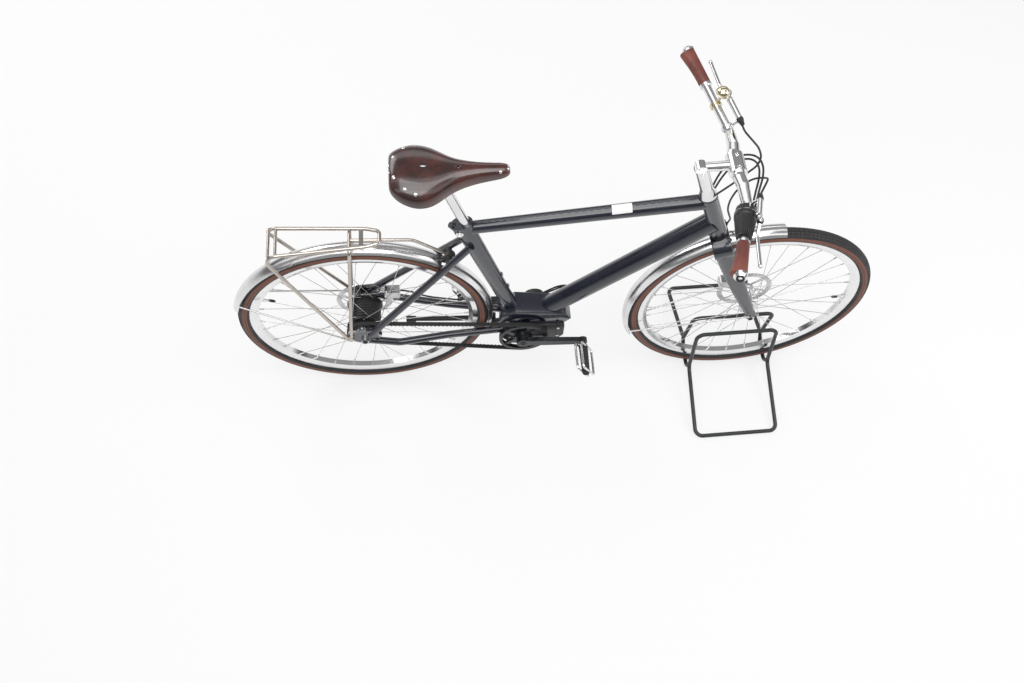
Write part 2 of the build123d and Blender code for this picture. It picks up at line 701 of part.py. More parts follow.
def stem():
    """Column, angle joint and arm that carries the handlebar."""
    skirt = cone(head(STEM_BASE), head(STEM_BASE + 30), CUP_RADIUS, STEM_COLUMN_RADIUS)
    column = rod(head(STEM_BASE + 29), head(STEM_PIVOT_HEIGHT), STEM_COLUMN_RADIUS)
    pivot = head(STEM_PIVOT_HEIGHT)
    joint = rod(pivot - LEFT * 11.5, pivot + LEFT * 11.5, 14.0)
    bolt = rod(pivot - LEFT * 13, pivot + LEFT * 13, 7.0)
    clamp = head(CLAMP_ALONG, CLAMP_AHEAD)
    arm = cone(pivot, clamp, 11.0, 13.0)
    barrel = rod(clamp - LEFT * CLAMP_HALF_WIDTH, clamp + LEFT * CLAMP_HALF_WIDTH, CLAMP_RADIUS)
    shape = skirt + column + joint + bolt + arm + barrel
    shape = shape - rod(clamp - LEFT * 40, clamp + LEFT * 40, BAR_CLAMP_RADIUS)
    return shape - rod(head(STEM_BASE - 1), head(STEM_BASE + 40), STEERER_RADIUS)


BAR_MIDDLE = head(CLAMP_ALONG, CLAMP_AHEAD)
BAR_BEND = Vector(BAR_MIDDLE.X + 5, 58, BAR_MIDDLE.Z - 2)
BAR_SHOULDER = Vector(BAR_MIDDLE.X + 6, 104, BAR_MIDDLE.Z - 8)
BAR_SWEEP = Vector(-0.31, 1.0, 0.2)


def bar_point(distance):
    """Point on the left half of the handlebar, by its distance from the middle plane."""
    return BAR_SHOULDER + BAR_SWEEP * (distance - BAR_SHOULDER.Y)


def handlebar():
    """Handlebar: thick in the middle, raised and swept back to the grips."""
    start = Vector(BAR_MIDDLE.X, 34, BAR_MIDDLE.Z)
    half = rod(BAR_MIDDLE, start, BAR_CLAMP_RADIUS) + ball(start, BAR_CLAMP_RADIUS)
    half = half + cone(start, BAR_BEND, BAR_CLAMP_RADIUS, BAR_CLAMP_RADIUS - 0.8)
    half = half + ball(BAR_BEND, BAR_CLAMP_RADIUS - 0.8)
    half = half + cone(BAR_BEND, BAR_SHOULDER, BAR_CLAMP_RADIUS - 0.8, BAR_RADIUS + 1.5)
    half = half + ball(BAR_SHOULDER, BAR_RADIUS + 1.5)
    neck = bar_point(111)
    half = half + cone(BAR_SHOULDER, neck, BAR_RADIUS + 1.5, BAR_RADIUS)
    half = half + rod(neck, bar_point(BAR_HALF_WIDTH), BAR_RADIUS)
    return half + mirrored(half)


def along_bar(shape_profile, start, side):
    """Turn a profile of (distance, radius) points about the handlebar from a given distance."""
    direction = (bar_point(1.0) - bar_point(0.0)).normalized()
    origin = bar_point(start)
    plane = Plane(origin=origin, x_dir=direction, z_dir=direction.cross(Vector(0, 0, 1)))
    face = plane * Polygon(*shape_profile, align=None)
    shape = revolve(face, axis=Axis(origin, direction))
    return shape if side > 0 else mirrored(shape)


def grip(side):
    """Leather grip with a flattened palm rest at its outer end."""
    sections = []
    direction = (bar_point(1.0) - bar_point(0.0)).normalized()
    back = direction.cross(Vector(0, 0, 1)).normalized() * -1
    for distance, deep, tall, shift in (
        (GRIP_INNER, 14.5, 14.5, 0.0), ((GRIP_INNER + GRIP_OUTER) / 2, 16.0, 15.0, 1.0),
        (GRIP_OUTER, 20.0, 15.0, 5.0),
    ):
        plane = Plane(origin=bar_point(distance) + back * shift, x_dir=back, z_dir=direction)
        sections.append(plane * Ellipse(deep, tall))
    shape = loft(sections) - rod(bar_point(GRIP_INNER - 20), bar_point(GRIP_OUTER + 20), BAR_RADIUS)
    return shape if side > 0 else mirrored(shape)


def grip_ring(side):
    """Locking ring at the inner end of a grip."""
    return along_bar([(0, BAR_RADIUS), (0, 15.5), (7, 15.5), (7, BAR_RADIUS)], GRIP_INNER - 7.0 * (bar_point(1.0) - bar_point(0.0)).normalized().Y, side)


def grip_cap(side):
    """Round cap that closes the outer end of a grip."""
    return along_bar([(0, BAR_RADIUS), (0, 16), (6, 16), (12, 11), (12, BAR_RADIUS)], GRIP_OUTER, side)


SHIFTER_START = 124.0


def twist_shifter():
    """Rotary shifter beside the right grip."""
    profile = [
        (0, BAR_RADIUS), (0, 17), (6, 24), (24, 25.5), (27, 26.5), (36, 26.5), (39, 24.5), (101, 17), (103, BAR_RADIUS),
    ]
    return along_bar(profile, SHIFTER_START, -1)


LEVER_CLAMP = 116.5
LEVER_OFFSET = Vector(26.0, 0.0, 28.0)


def brake_lever(side):
    """Brake lever: clamp, cylinder body ahead of the bar and blade in front of the grip."""
    clamp = along_bar([(0, BAR_RADIUS), (0, 15.5), (8, 15.5), (8, BAR_RADIUS)], LEVER_CLAMP - 4, 1)
    bore = rod(bar_point(LEVER_CLAMP - 24), bar_point(LEVER_CLAMP + 16), BAR_RADIUS)
    reservoir = rod(bar_point(114) + LEVER_OFFSET, bar_point(172) + LEVER_OFFSET, 7.5)
    neck = rod(bar_point(LEVER_CLAMP), bar_point(LEVER_CLAMP) + LEVER_OFFSET, 4.0)
    pivot = bar_point(188) + LEVER_OFFSET + Vector(4, 0, 0)
    hinge = rod(pivot - Vector(0, 0, 8), pivot + Vector(0, 0, 8), 6.0)
    link = rod(bar_point(168) + LEVER_OFFSET, pivot, 5.0)
    tip_centre = bar_point(300) + Vector(44, 0, -6)
    blade = bent_bar([pivot, bar_point(218) + Vector(29, 0, 8), tip_centre], 60, 4.5)
    shape = (clamp + neck) - bore + reservoir + hinge + link + blade + ball(tip_centre, 5.5)
    return shape if side > 0 else mirrored(shape)


BELL_CLAMP = 178.0
BELL_RADIUS = 17.5
BELL_RAISED = 44.5


def bell():
    """Bell on a clamp, on the left of the handlebar."""
    clamp = along_bar([(0, BAR_RADIUS), (0, 15), (10, 15), (10, BAR_RADIUS)], BELL_CLAMP - 5, 1)
    base = bar_point(BELL_CLAMP)
    up = Vector(0.2, 0, 0.98).normalized()
    post = rod(base + up * 13, base + up * (BELL_RAISED + 2), 4.0)
    dome = Pos(base + up * BELL_RAISED) * Sphere(BELL_RADIUS)
    cap = rod(base + up * BELL_RAISED, base + up * (BELL_RAISED + 2 * BELL_RADIUS), 2 * BELL_RADIUS)
    return clamp + post + (dome & cap)


# ---------------------------------------------------------------- saddle


def seat_post():
    """Seat post with the clamp head under the saddle."""
    post = rod(seat(POST_BOTTOM), seat(POST_TOP), POST_RADIUS)
    top = seat(POST_TOP)
    return post + rod(top - LEFT * 24, top + LEFT * 24, 13.0)


RAIL_Y = 22.0
RAIL_RADIUS = 3.5


def saddle_rails():
    """Two steel rails from the cantle plate to the nose, held by the post's clamp."""
    top = seat(POST_TOP)
    rail_z = top.Z + 13.0 + RAIL_RADIUS
    points = [
        Vector(SADDLE_REAR + 28, 40, rail_z + 10), Vector(SADDLE_REAR + 70, RAIL_Y, rail_z),
        Vector(SADDLE_REAR + 190, RAIL_Y, rail_z), Vector(SADDLE_REAR + 262, 7, rail_z + 12),
    ]
    rail = bent_bar(points, 40, RAIL_RADIUS)
    clamp = Pos(top.X, 0, rail_z) * Box(38, 2 * RAIL_Y + 14, 7.0)
    cantle = rod(Vector(SADDLE_REAR + 28, -46, rail_z + 10), Vector(SADDLE_REAR + 28, 46, rail_z + 10), 7.5)
    nose = rod(Vector(SADDLE_REAR + 262, -9, rail_z + 12), Vector(SADDLE_REAR + 262, 9, rail_z + 12), 7.5)
    shape = rail + mirrored(rail) + clamp + cantle + nose
    return shape - rod(top - LEFT * 24, top + LEFT * 24, 13.0)


def saddle():
    """Leather saddle as a plain arched shell."""
    sections = []
    for distance, half, top, low in (
        (0, 46, 1026, 1004), (22, 76, 1036, 992), (60, 88, 1035, 984), (104, 78, 1031, 978), (150, 44, 1027, 984),
        (205, 25, 1025, 990), (260, 19, 1023, 996), (SADDLE_LENGTH, 13, 1020, 1002),
    ):
        left_edge, right_edge = (half, low), (-half, low)
        outer = ThreePointArc(right_edge, (0, top), left_edge)
        inner = ThreePointArc(left_edge, (0, top - 9), right_edge)
        face = Plane(origin=(SADDLE_REAR + distance, 0, 0), x_dir=(0, 1, 0), z_dir=(1, 0, 0)) * make_face([outer, inner])
        sections.append(face)
    return loft(sections)


# ---------------------------------------------------------------- mudguards


def guard(start_angle, end_angle):
    """Mudguard about the Y axis, between two angles measured up from straight ahead."""
    outer, half = GUARD_RADIUS, GUARD_HALF_WIDTH
    edge = outer - GUARD_DROP
    profile = make_face([
        ThreePointArc((-half, edge), (0, outer), (half, edge)),
        Line((half, edge), (half - 1.2, edge - GUARD_WALL)),
        ThreePointArc((half - 1.2, edge - GUARD_WALL), (0, outer - GUARD_WALL), (-half + 1.2, edge - GUARD_WALL)),
        Line((-half + 1.2, edge - GUARD_WALL), (-half, edge)),
    ])
    swept = revolve(Plane.YZ * profile, axis=Axis.Y, revolution_arc=end_angle - start_angle)
    angles = [swept.center().X, swept.center().Z]
    middle = (start_angle + end_angle) / 2
    now = degrees(atan2(angles[1], angles[0]))
    return Rot(0, now - middle, 0) * swept


def guard_edge(axle, angle, side):
    """Point on a mudguard's edge."""
    radius = GUARD_RADIUS - GUARD_DROP - GUARD_WALL / 2
    return axle + Vector(radius * cos(radians(angle)), side * GUARD_HALF_WIDTH, radius * sin(radians(angle)))


REAR_GUARD = (-13.5, 166.0)
FRONT_GUARD = (86.0, 200.0)


def rear_guard_stays():
    """Wire from each dropout to the rear mudguard."""
    stays = []
    for side in (-1, 1):
        foot = Vector(RACK_FOOT.X - 10, side * (DROPOUT_OUTER + 4), RACK_FOOT.Z - 12)
        tip = guard_edge(REAR_AXLE, 160.0, side) + LEFT * side * 1.4
        bolt = rod(foot - LEFT * side * 4, foot + LEFT * side * 3, 4.0)
        stays.append(rod(foot, tip, GUARD_STAY_RADIUS) + bolt)
    return stays


def front_guard_stays():
    """Wire from each fork end to the front mudguard."""
    stays = []
    for side in (-1, 1):
        outer = FORK_INNER + FORK_END_WALL
        foot = FRONT_AXLE + Vector(-9, side * (outer + 4), 8)
        tip = guard_edge(FRONT_AXLE, 196.0, side) + LEFT * side * 1.4
        bolt = rod(foot - LEFT * side * 4, foot + LEFT * side * 3, 4.0)
        stays.append(rod(foot, tip, GUARD_STAY_RADIUS) + bolt)
    return stays


# ---------------------------------------------------------------- rack


def rear_rack():
    """Stainless rack: platform loop with its diagonal legs, hoop leg, crossbars and front plate."""
    foot = Vector(RACK_FOOT.X, RACK_FOOT_Y, RACK_FOOT.Z)
    back_foot = foot + Vector(-10, 0, 4)
    half_loop = [
        back_foot, Vector(RACK_REAR_X, RACK_REAR_Y, RACK_REAR_Z), Vector(RACK_FRONT_X, RACK_FRONT_Y, RACK_FRONT_Z),
        Vector(RACK_FRONT_X + 34, RACK_FRONT_Y - 9, RACK_FRONT_Z + 1),
    ]
    other_half = [Vector(corner.X, -corner.Y, corner.Z) for corner in reversed(half_loop)]
    loop = bent_bar(half_loop + other_half, [24, 40, 12, 12, 40, 24], RACK_TUBE_RADIUS)
    hoop_half = [foot, Vector(-8, RACK_REAR_Y - 6, RACK_REAR_Z - 2)]
    hoop = bent_bar(
        hoop_half + [Vector(corner.X, -corner.Y, corner.Z) for corner in reversed(hoop_half)], 18,
        RACK_TUBE_RADIUS,
    )
    shape = loop + hoop
    for side in (-1, 1):
        start = Vector(foot.X, side * DROPOUT_OUTER, foot.Z)
        shape = shape + rod(start, Vector(foot.X, side * (RACK_FOOT_Y + 5), foot.Z), 8.0)
        shape = shape + rod(Vector(foot.X, side * RACK_FOOT_Y, foot.Z), Vector(
            back_foot.X, side * RACK_FOOT_Y, back_foot.Z), RACK_TUBE_RADIUS + 1)
    for x in (RACK_REAR_X + 36, RACK_REAR_X + 18):
        width = RACK_REAR_Y - 1 - (x - RACK_REAR_X) * 0.065
        shape = shape + rod(Vector(x, -width, RACK_REAR_Z), Vector(x, width, RACK_REAR_Z), 4.0)
    plate_x = RACK_FRONT_X - 12
    return shape + Pos(plate_x, 0, RACK_FRONT_Z - 1) * Box(11, 2 * RACK_FRONT_Y + 2, 4)


def rack_stay(bridge):
    """Single tube from the rack's platform down to the bridge between the seat stays."""
    eye = SEAT_STAY_TOP + (SEAT_STAY_END - SEAT_STAY_TOP) * BRIDGE_ALONG
    points = [Vector(-8, 0, RACK_REAR_Z - 2), Vector(150, 0, RACK_REAR_Z - 10), Vector(eye.X, 0, eye.Z + 4)]
    return bent_bar(points, 40, 4.5)


# ---------------------------------------------------------------- brakes, cables, stands


def caliper(centre, right, left, disc_y, axle):
    """Disc-brake caliper between two distances to the left: a block with a slot for the disc."""
    block = Pos(centre.X, (right + left) / 2, centre.Z) * Box(44, left - right, 30)
    block = fillet(block.edges().filter_by(Axis.Y), 8)
    slot = Pos(axle.X, disc_y, axle.Z) * (Rot(90, 0, 0) * Cylinder(ROTOR_RADIUS + 4, ROTOR_THICKNESS + 8))
    return block - slot


def kick_axis():
    """Pivot axis of the kickstand and the direction of its folded leg."""
    folded = Vector(-cos(radians(KICK_SPLAY)), sin(radians(KICK_SPLAY)), -0.02).normalized()
    down = Vector(0.0, 0.36, -0.933).normalized()
    return folded, folded.cross(down).normalized()


def kickstand_leg():
    """Kickstand leg, folded back beside the rear wheel."""
    folded, axis = kick_axis()
    head_block = rod(KICK_PIVOT - axis * 9, KICK_PIVOT + axis * 9, 13.0)
    leg = cone(KICK_PIVOT, KICK_PIVOT + folded * (KICK_LEG_LENGTH - 26), KICK_LEG_RADIUS + 1, KICK_LEG_RADIUS - 1.5)
    toe = cone(
        KICK_PIVOT + folded * (KICK_LEG_LENGTH - 28), KICK_PIVOT + folded * KICK_LEG_LENGTH,
        KICK_LEG_RADIUS + 1, KICK_LEG_RADIUS + 3,
    )
    bore = rod(KICK_PIVOT - axis * 30, KICK_PIVOT + axis * 30, 5.0 + RUNNING_GAP)
    return head_block + leg + toe - bore


def kickstand_bracket(bridge, gearbox_block, stays):
    """Plate behind the gearbox, with the fork and pin that carry the kickstand."""
    folded, axis = kick_axis()
    pin = rod(KICK_PIVOT - axis * 16, KICK_PIVOT + axis * 16, 5.0)
    cheeks = [
        rod(KICK_PIVOT + axis * side * 9.4, KICK_PIVOT + axis * side * 15, 13.0) for side in (-1, 1)
    ]
    beam_foot = KICK_PIVOT + axis * 12.2
    beam = rod(beam_foot, beam_foot + Vector(34, -14, 40), 7.0) - rod(
        KICK_PIVOT - axis * 20, KICK_PIVOT + axis * 9.4, 16.0)
    shape = pin + cheeks + beam
    shape = shape - gearbox_block - bridge
    for stay in stays:
        shape = shape - stay
    return shape


def stand_half(side):
    """One side of the display stand: a closed bent-wire hoop."""
    floor_width = STAND_FLOOR_HALF_WIDTH - side * STAND_FLOOR_RIGHTWARD
    halves = []
    for end in (1, -1):
        corners = [
            Vector(0, floor_width, STAND_WIRE_RADIUS),
            Vector(STAND_FLOOR_HALF_LENGTH - end * STAND_FLOOR_BACK, floor_width, STAND_WIRE_RADIUS),
            Vector(STAND_KNEE_HALF_LENGTH, STAND_KNEE_HALF_WIDTH, STAND_KNEE_HEIGHT),
            Vector(STAND_TOP_HALF_LENGTH, STAND_TOP_HALF_WIDTH, STAND_TOP_HEIGHT),
            Vector(0, STAND_TOP_HALF_WIDTH, STAND_TOP_HEIGHT),
        ]
        half = bent_bar(corners, [22, 24, 24], STAND_WIRE_RADIUS)
        halves.append(half if end > 0 else half.mirror(Plane.YZ))
    hoop = halves[0] + halves[1]
    return hoop if side > 0 else mirrored(hoop)


def stand_cradle(side, hoops):
    """Bent wire under the tyre that joins the two hoops, in front of or behind the contact."""
    reach = TYRE_RADIUS + STAND_WIRE_RADIUS + STAND_TYRE_GAP
    low = TYRE_RADIUS - sqrt(reach**2 - STAND_KNEE_HALF_LENGTH**2)
    x = side * STAND_KNEE_HALF_LENGTH
    knee_y, knee_z = STAND_KNEE_HALF_WIDTH, STAND_KNEE_HEIGHT
    corners = [
        Vector(x, knee_y, knee_z), Vector(x, 30, low), Vector(x, -30, low), Vector(x, -knee_y, knee_z),
    ]
    cradle = bent_bar(corners, 16, STAND_WIRE_RADIUS)
    for hoop in hoops:
        cradle = cradle - hoop
    return cradle


def on_contact(shape):
    """Move a piece drawn about the front tyre's contact point to where that tyre stands."""
    turn = radians(STEER_REST)
    reach = FRONT_AXLE - STEER_FOOT
    centre = STEER_FOOT + reach * cos(turn) + UP_HEAD.cross(reach) * sin(turn)
    heading = Vector(1, 0, 0) * cos(turn) + UP_HEAD.cross(Vector(1, 0, 0)) * sin(turn)
    yaw = degrees(atan2(heading.Y, heading.X))
    return Pos(centre.X, centre.Y, 0) * (Rot(0, 0, yaw) * shape)


# ---------------------------------------------------------------- cables and hoses

CABLE_RADIUS = 2.5
HOSE_RADIUS = 2.5


def cable(points, radius):
    """Cable along a route, with each bend as large as its two runs allow."""
    bends = []
    for before, corner, after in zip(points, points[1:], points[2:]):
        first, second = corner - before, after - corner
        turn = radians(first.get_angle(second))
        bends.append(0.45 * min(first.length, second.length) / (sin(turn / 2) / cos(turn / 2)))
    print("cable bends", [round(bend) for bend in bends])
    return bent_bar(points, bends, radius)


PORT = head(STEM_BASE + 9, 13, -15)


def control_routes():
    """Routes of the cables and hoses that turn with the handlebar, drawn straight ahead."""
    left_lever = bar_point(111.5) + LEVER_OFFSET
    right_lever = Vector(left_lever.X, -left_lever.Y, left_lever.Z)
    inner_shift = [
        Vector(940, -SHIFTER_START - 8, 970), Vector(949, -102, 975), Vector(958, -76, 985), Vector(970, -48, 990),
        Vector(979, -18, 990), Vector(980, 8, 985), Vector(971, 27, 977), Vector(952, 36, 966),
        Vector(932, 33, 949), Vector(908, 18, 923), PORT + Vector(-8, 4, -8),
    ]
    outer_shift = [
        Vector(942, -SHIFTER_START - 8, 985), Vector(955, -102, 987), Vector(965, -76, 994), Vector(978, -48, 999),
        Vector(987, -16, 998), Vector(987, 14, 991), Vector(976, 36, 981), Vector(952, 45, 971),
        Vector(926, 42, 951), Vector(902, 26, 925), PORT + Vector(-10, 10, -6),
    ]
    left_hose = [
        left_lever, Vector(960, 90, 1005), Vector(974, 62, 1004), Vector(988, 42, 998), Vector(994, 24, 984),
        Vector(984, 12, 967), Vector(962, 5, 951), Vector(932, -5, 927), PORT + Vector(-8, -3, -6),
    ]
    front_hose = [
        right_lever, Vector(962, -96, 1006), Vector(978, -72, 1007), Vector(991, -50, 999), Vector(991, -34, 981),
        Vector(976, -18, 960), Vector(960, -8, 931), Vector(947, -3, 894), Vector(940, -1, 852), Vector(944, 4, 806),
        Vector(962, 15, 758), Vector(980, 40, 708), Vector(984, 61, 656), Vector(996, 66, 598), Vector(1010, 68, 542),
        Vector(1024, 67, 490), Vector(1026, 60, 446), Vector(1034, 46, 402),
    ]
    return inner_shift, outer_shift, left_hose, front_hose


REAR_HOSE_ROUTE = [
    Vector(98, 54, 394), Vector(132, 54, 384), Vector(176, 54, 352), Vector(240, 52, 336), Vector(310, 44, 334),
    Vector(372, 34, 330), Vector(402, 26, 336),
]
SHIFT_BOX_ROUTES = [
    [Vector(506, 42, 366), Vector(524, 43, 380), Vector(546, 42, 400), Vector(566, 34, 418), Vector(586, 18, 434)],
    [Vector(510, 48, 350), Vector(532, 50, 362), Vector(558, 49, 384), Vector(580, 38, 408), Vector(602, 18, 428)],
]


# ---------------------------------------------------------------- build


def build_frame():
    bridge, gearbox_block, lug = gearbox_bridge(), gearbox_blank(), seat_lug()
    plate = dropout()
    seat_stays = [seat_stay(plate, lug)]
    seat_stays.append(mirrored(seat_stays[0]))
    chain_stays = [chain_stay(plate, bridge, gearbox_block)]
    chain_stays.append(mirrored(chain_stays[0]))
    save("head_tube", head_tube())
    save("headset_cups", *headset_cups())
    save("seat_tube", seat_tube(bridge, gearbox_block))
    save("seat_lug", lug)
    save("top_tube", top_tube(lug))
    save("down_tube", down_tube(bridge, gearbox_block))
    save("gearbox_bridge", bridge)
    save("gearbox", gearbox())
    save("shift_box", shift_box())
    save("dropouts", plate, mirrored(plate))
    save("seat_stays", *seat_stays)
    save("chain_stays", *chain_stays)
    span = stay_bridge(seat_stays)
    save("stay_bridge", span)
    save("rear_axle", rear_axle())
    save("kickstand_bracket", kickstand_bracket(bridge, gearbox_block, chain_stays))
    save("kickstand_leg", kickstand_leg())
    save("drive_belt", drive_belt())
    rear_guard = Pos(REAR_AXLE) * guard(*REAR_GUARD)
    save("rear_fender", rear_guard)
    save("rear_fender_stays", *[stay - rear_guard for stay in rear_guard_stays()])
    rack = rear_rack()
    save("rear_rack", rack)
    save("rack_stay", rack_stay(span) - span - rack)
    brake = caliper(REAR_AXLE + Vector(80, 0, 38), 40, 66, REAR_ROTOR_CENTRE, REAR_AXLE)
    brake = brake + rod(REAR_AXLE + Vector(74, 65, 42), REAR_AXLE + Vector(40, 68, 54), 4.0) - seat_stays[0]
    save("rear_caliper", brake)
    save("rear_brake_hose", cable(REAR_HOSE_ROUTE, HOSE_RADIUS) - bridge - brake)
    tube = down_tube_blank()
    box = shift_box()
    save("shift_cables", *[cable(route, CABLE_RADIUS) - tube - box - bridge for route in SHIFT_BOX_ROUTES])


def build_seat():
    post = seat_post()
    save("seat_post", post)
    leather = saddle()
    save("saddle_rails", saddle_rails() - leather)
    save("saddle", leather)


def build_cranks():
    save("crank_arms", crank_arms())
    save("front_pulley", front_pulley())
    save("pedal_right", pedal(-1))
    save("pedal_left", pedal(1))


def build_wheels():
    save("rear_tyre", at_rear(tyre()))
    save("rear_rim", at_rear(rim_blank()))
    save("rear_spokes", *[at_rear(item) for item in spokes(REAR_FLANGES, REAR_FLANGE_RADIUS, 2)])
    save("rear_hub", at_rear(hub(REAR_HUB_RIGHT, REAR_HUB_LEFT, REAR_HUB_RADIUS, REAR_FLANGES, REAR_FLANGE_RADIUS)))
    save("rear_rotor", at_rear(rotor(REAR_ROTOR_CENTRE, REAR_HUB_LEFT)))
    save("rear_pulley", rear_pulley())
    save("front_tyre", at_front(tyre()))
    save("front_rim", at_front(rim_blank()))
    save("front_spokes", *[at_front(item) for item in spokes(FRONT_FLANGES, FRONT_FLANGE_RADIUS, 3)])
    end = FRONT_ROTOR_CENTRE - 6.0
    save("front_hub", at_front(hub(-FRONT_HUB_HALF, end, FRONT_HUB_RADIUS, FRONT_FLANGES, FRONT_FLANGE_RADIUS)))
    save("front_rotor", at_front(rotor(FRONT_ROTOR_CENTRE, end)))


def build_steering():
    blades = fork_blades()
    crown = fork_crown()
    save("fork_crown", in_fork(crown))
    save("fork_blades", *[in_fork(blade) for blade in blades])
    axle = front_axle()
    save("front_axle", in_fork(axle))
    column = stem()
    save("stem", in_fork(column))
    save("handlebar", in_fork(handlebar()))
    save("grips", *[in_fork(grip(side)) for side in (-1, 1)])
    save("grip_rings", *[in_fork(make(side)) for side in (-1, 1) for make in (grip_ring, grip_cap)])
    shifter = twist_shifter()
    save("twist_shifter", in_fork(shifter))
    levers = [brake_lever(side) for side in (-1, 1)]
    save("brake_levers", *[in_fork(lever) for lever in levers])
    save("bell", in_fork(bell()))
    front_guard = Pos(FRONT_AXLE) * guard(*FRONT_GUARD)
    save("front_fender", in_fork(front_guard + (rod(head(358.8), head(370), 9.0) - crown)))
    save("front_fender_stays", *[in_fork(stay - blades[0] - blades[1] - axle - front_guard) for stay in front_guard_stays()])
    brake = caliper(FRONT_AXLE + Vector(-62, 0, 42), 30, 54, FRONT_ROTOR_CENTRE, FRONT_AXLE)
    brake = brake + rod(FRONT_AXLE + Vector(-50, 49, 36), FRONT_AXLE + Vector(-20, 52, 40), 4.5) - blades[0]
    save("front_caliper", in_fork(brake))
    outside = [cable(route, HOSE_RADIUS) - column - crown - shifter - levers[0] - levers[1] - brake for route in control_routes()]
    save("control_cables", *[in_fork(whole.solids().sort_by(SortBy.VOLUME)[-1]) for whole in outside])
    hoops = [stand_half(side) for side in (-1, 1)]
    cradles = [stand_cradle(side, hoops) for side in (-1, 1)]
    save("stand_hoops", *[on_contact(hoop) for hoop in hoops])
    save("stand_cradles", *[on_contact(cradle) for cradle in cradles])


build_frame()
build_seat()
build_cranks()
build_wheels()
build_steering()
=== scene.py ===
"""Looks of the belt-driven electric city bicycle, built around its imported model.

Metres, in the model's own frame: +X forward, +Y to the rider's left, +Z up.
"""

import json
from math import acos, atan2, ceil, cos, degrees, hypot, pi, radians, sin, sqrt

import bmesh
import bpy
from mathutils import Matrix, Vector


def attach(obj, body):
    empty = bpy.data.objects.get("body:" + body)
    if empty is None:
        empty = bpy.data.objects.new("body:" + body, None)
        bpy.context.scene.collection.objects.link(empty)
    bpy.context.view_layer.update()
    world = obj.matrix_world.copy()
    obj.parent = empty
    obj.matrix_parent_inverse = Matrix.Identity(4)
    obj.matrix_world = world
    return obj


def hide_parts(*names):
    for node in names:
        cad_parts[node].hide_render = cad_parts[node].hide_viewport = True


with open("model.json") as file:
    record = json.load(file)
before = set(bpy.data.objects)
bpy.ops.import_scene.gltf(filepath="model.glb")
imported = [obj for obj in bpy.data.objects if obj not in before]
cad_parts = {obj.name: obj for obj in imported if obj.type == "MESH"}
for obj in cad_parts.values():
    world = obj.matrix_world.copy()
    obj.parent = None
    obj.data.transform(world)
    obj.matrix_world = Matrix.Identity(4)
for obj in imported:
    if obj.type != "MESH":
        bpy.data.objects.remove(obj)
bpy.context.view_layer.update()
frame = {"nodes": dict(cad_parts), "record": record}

MM = 0.001
JOINTS = {joint["name"]: joint for joint in frame["record"]["behaviour"]["joints"]}
UP = Vector((0, 0, 1))
LEFT = Vector((0, 1, 0))
AHEAD = Vector((1, 0, 0))

# ---------------------------------------------------------------- places read from the model

REAR_AXLE = Vector(JOINTS["rear_wheel_spin"]["pos_m"])
CRANK_AXIS = Vector(JOINTS["crank_spin"]["pos_m"])
STEER_FOOT = Vector(JOINTS["steering_turn"]["pos_m"])
STEER_UP = Vector(JOINTS["steering_turn"]["axis"]).normalized()
STEER_AHEAD = LEFT.cross(STEER_UP)
FRONT_AXLE = Vector(JOINTS["front_wheel_spin"]["pos_m"])
FRONT_SPIN = Vector(JOINTS["front_wheel_spin"]["axis"]).normalized()
STEER_REST = radians(1.8)
STEER_TURN = Matrix.Translation(STEER_FOOT) @ Matrix.Rotation(STEER_REST, 4, STEER_UP) @ Matrix.Translation(-STEER_FOOT)
STRAIGHT_AXLE = STEER_TURN.inverted() @ FRONT_AXLE
REAR_WHEEL = Matrix.Translation(REAR_AXLE)
FRONT_WHEEL = STEER_TURN @ Matrix.Translation(STRAIGHT_AXLE)


def on_fork(along, ahead=0.0, left=0.0):
    """Point by its height up the steering axis, distance ahead of it and to its left, before the rest turn."""
    return STEER_FOOT + STEER_UP * along * MM + STEER_AHEAD * ahead * MM + LEFT * left * MM


# ---------------------------------------------------------------- modelling


def deselect():
    if bpy.context.mode != "OBJECT":
        bpy.ops.object.mode_set(mode="OBJECT")
    bpy.ops.object.select_all(action="DESELECT")


def take(piece):
    """Makes a piece the only one selected."""
    deselect()
    piece.select_set(True)
    bpy.context.view_layer.objects.active = piece
    return piece


def primitive(name, kind, **sizes):
    deselect()
    getattr(bpy.ops.mesh, "primitive_" + kind + "_add")(**sizes)
    piece = bpy.context.object
    piece.name = piece.data.name = name
    return piece


def edit(piece):
    take(piece)
    bpy.ops.object.mode_set(mode="EDIT")
    bpy.ops.mesh.select_mode(type="VERT")
    bpy.ops.mesh.select_all(action="SELECT")


def pick(piece, mode, test):
    """Selects the faces, edges or vertices, in edit mode, that pass a test."""
    bpy.ops.mesh.select_mode(type=mode)
    bpy.ops.mesh.select_all(action="DESELECT")
    mesh = bmesh.from_edit_mesh(piece.data)
    parts = {"VERT": mesh.verts, "EDGE": mesh.edges, "FACE": mesh.faces}[mode]
    for part in parts:
        part.select_set(bool(test(part)))
    mesh.select_flush_mode()
    bmesh.update_edit_mesh(piece.data)


def tidy(piece, angle=35.0, doubles=2e-6):
    """Merges doubles, turns the faces outwards and smooths the shading below an angle."""
    edit(piece)
    bpy.ops.mesh.select_all(action="SELECT")
    bpy.ops.mesh.remove_doubles(threshold=doubles)
    bpy.ops.mesh.normals_make_consistent(inside=False)
    take(piece)
    bpy.ops.object.shade_smooth_by_angle(angle=radians(angle))
    return piece


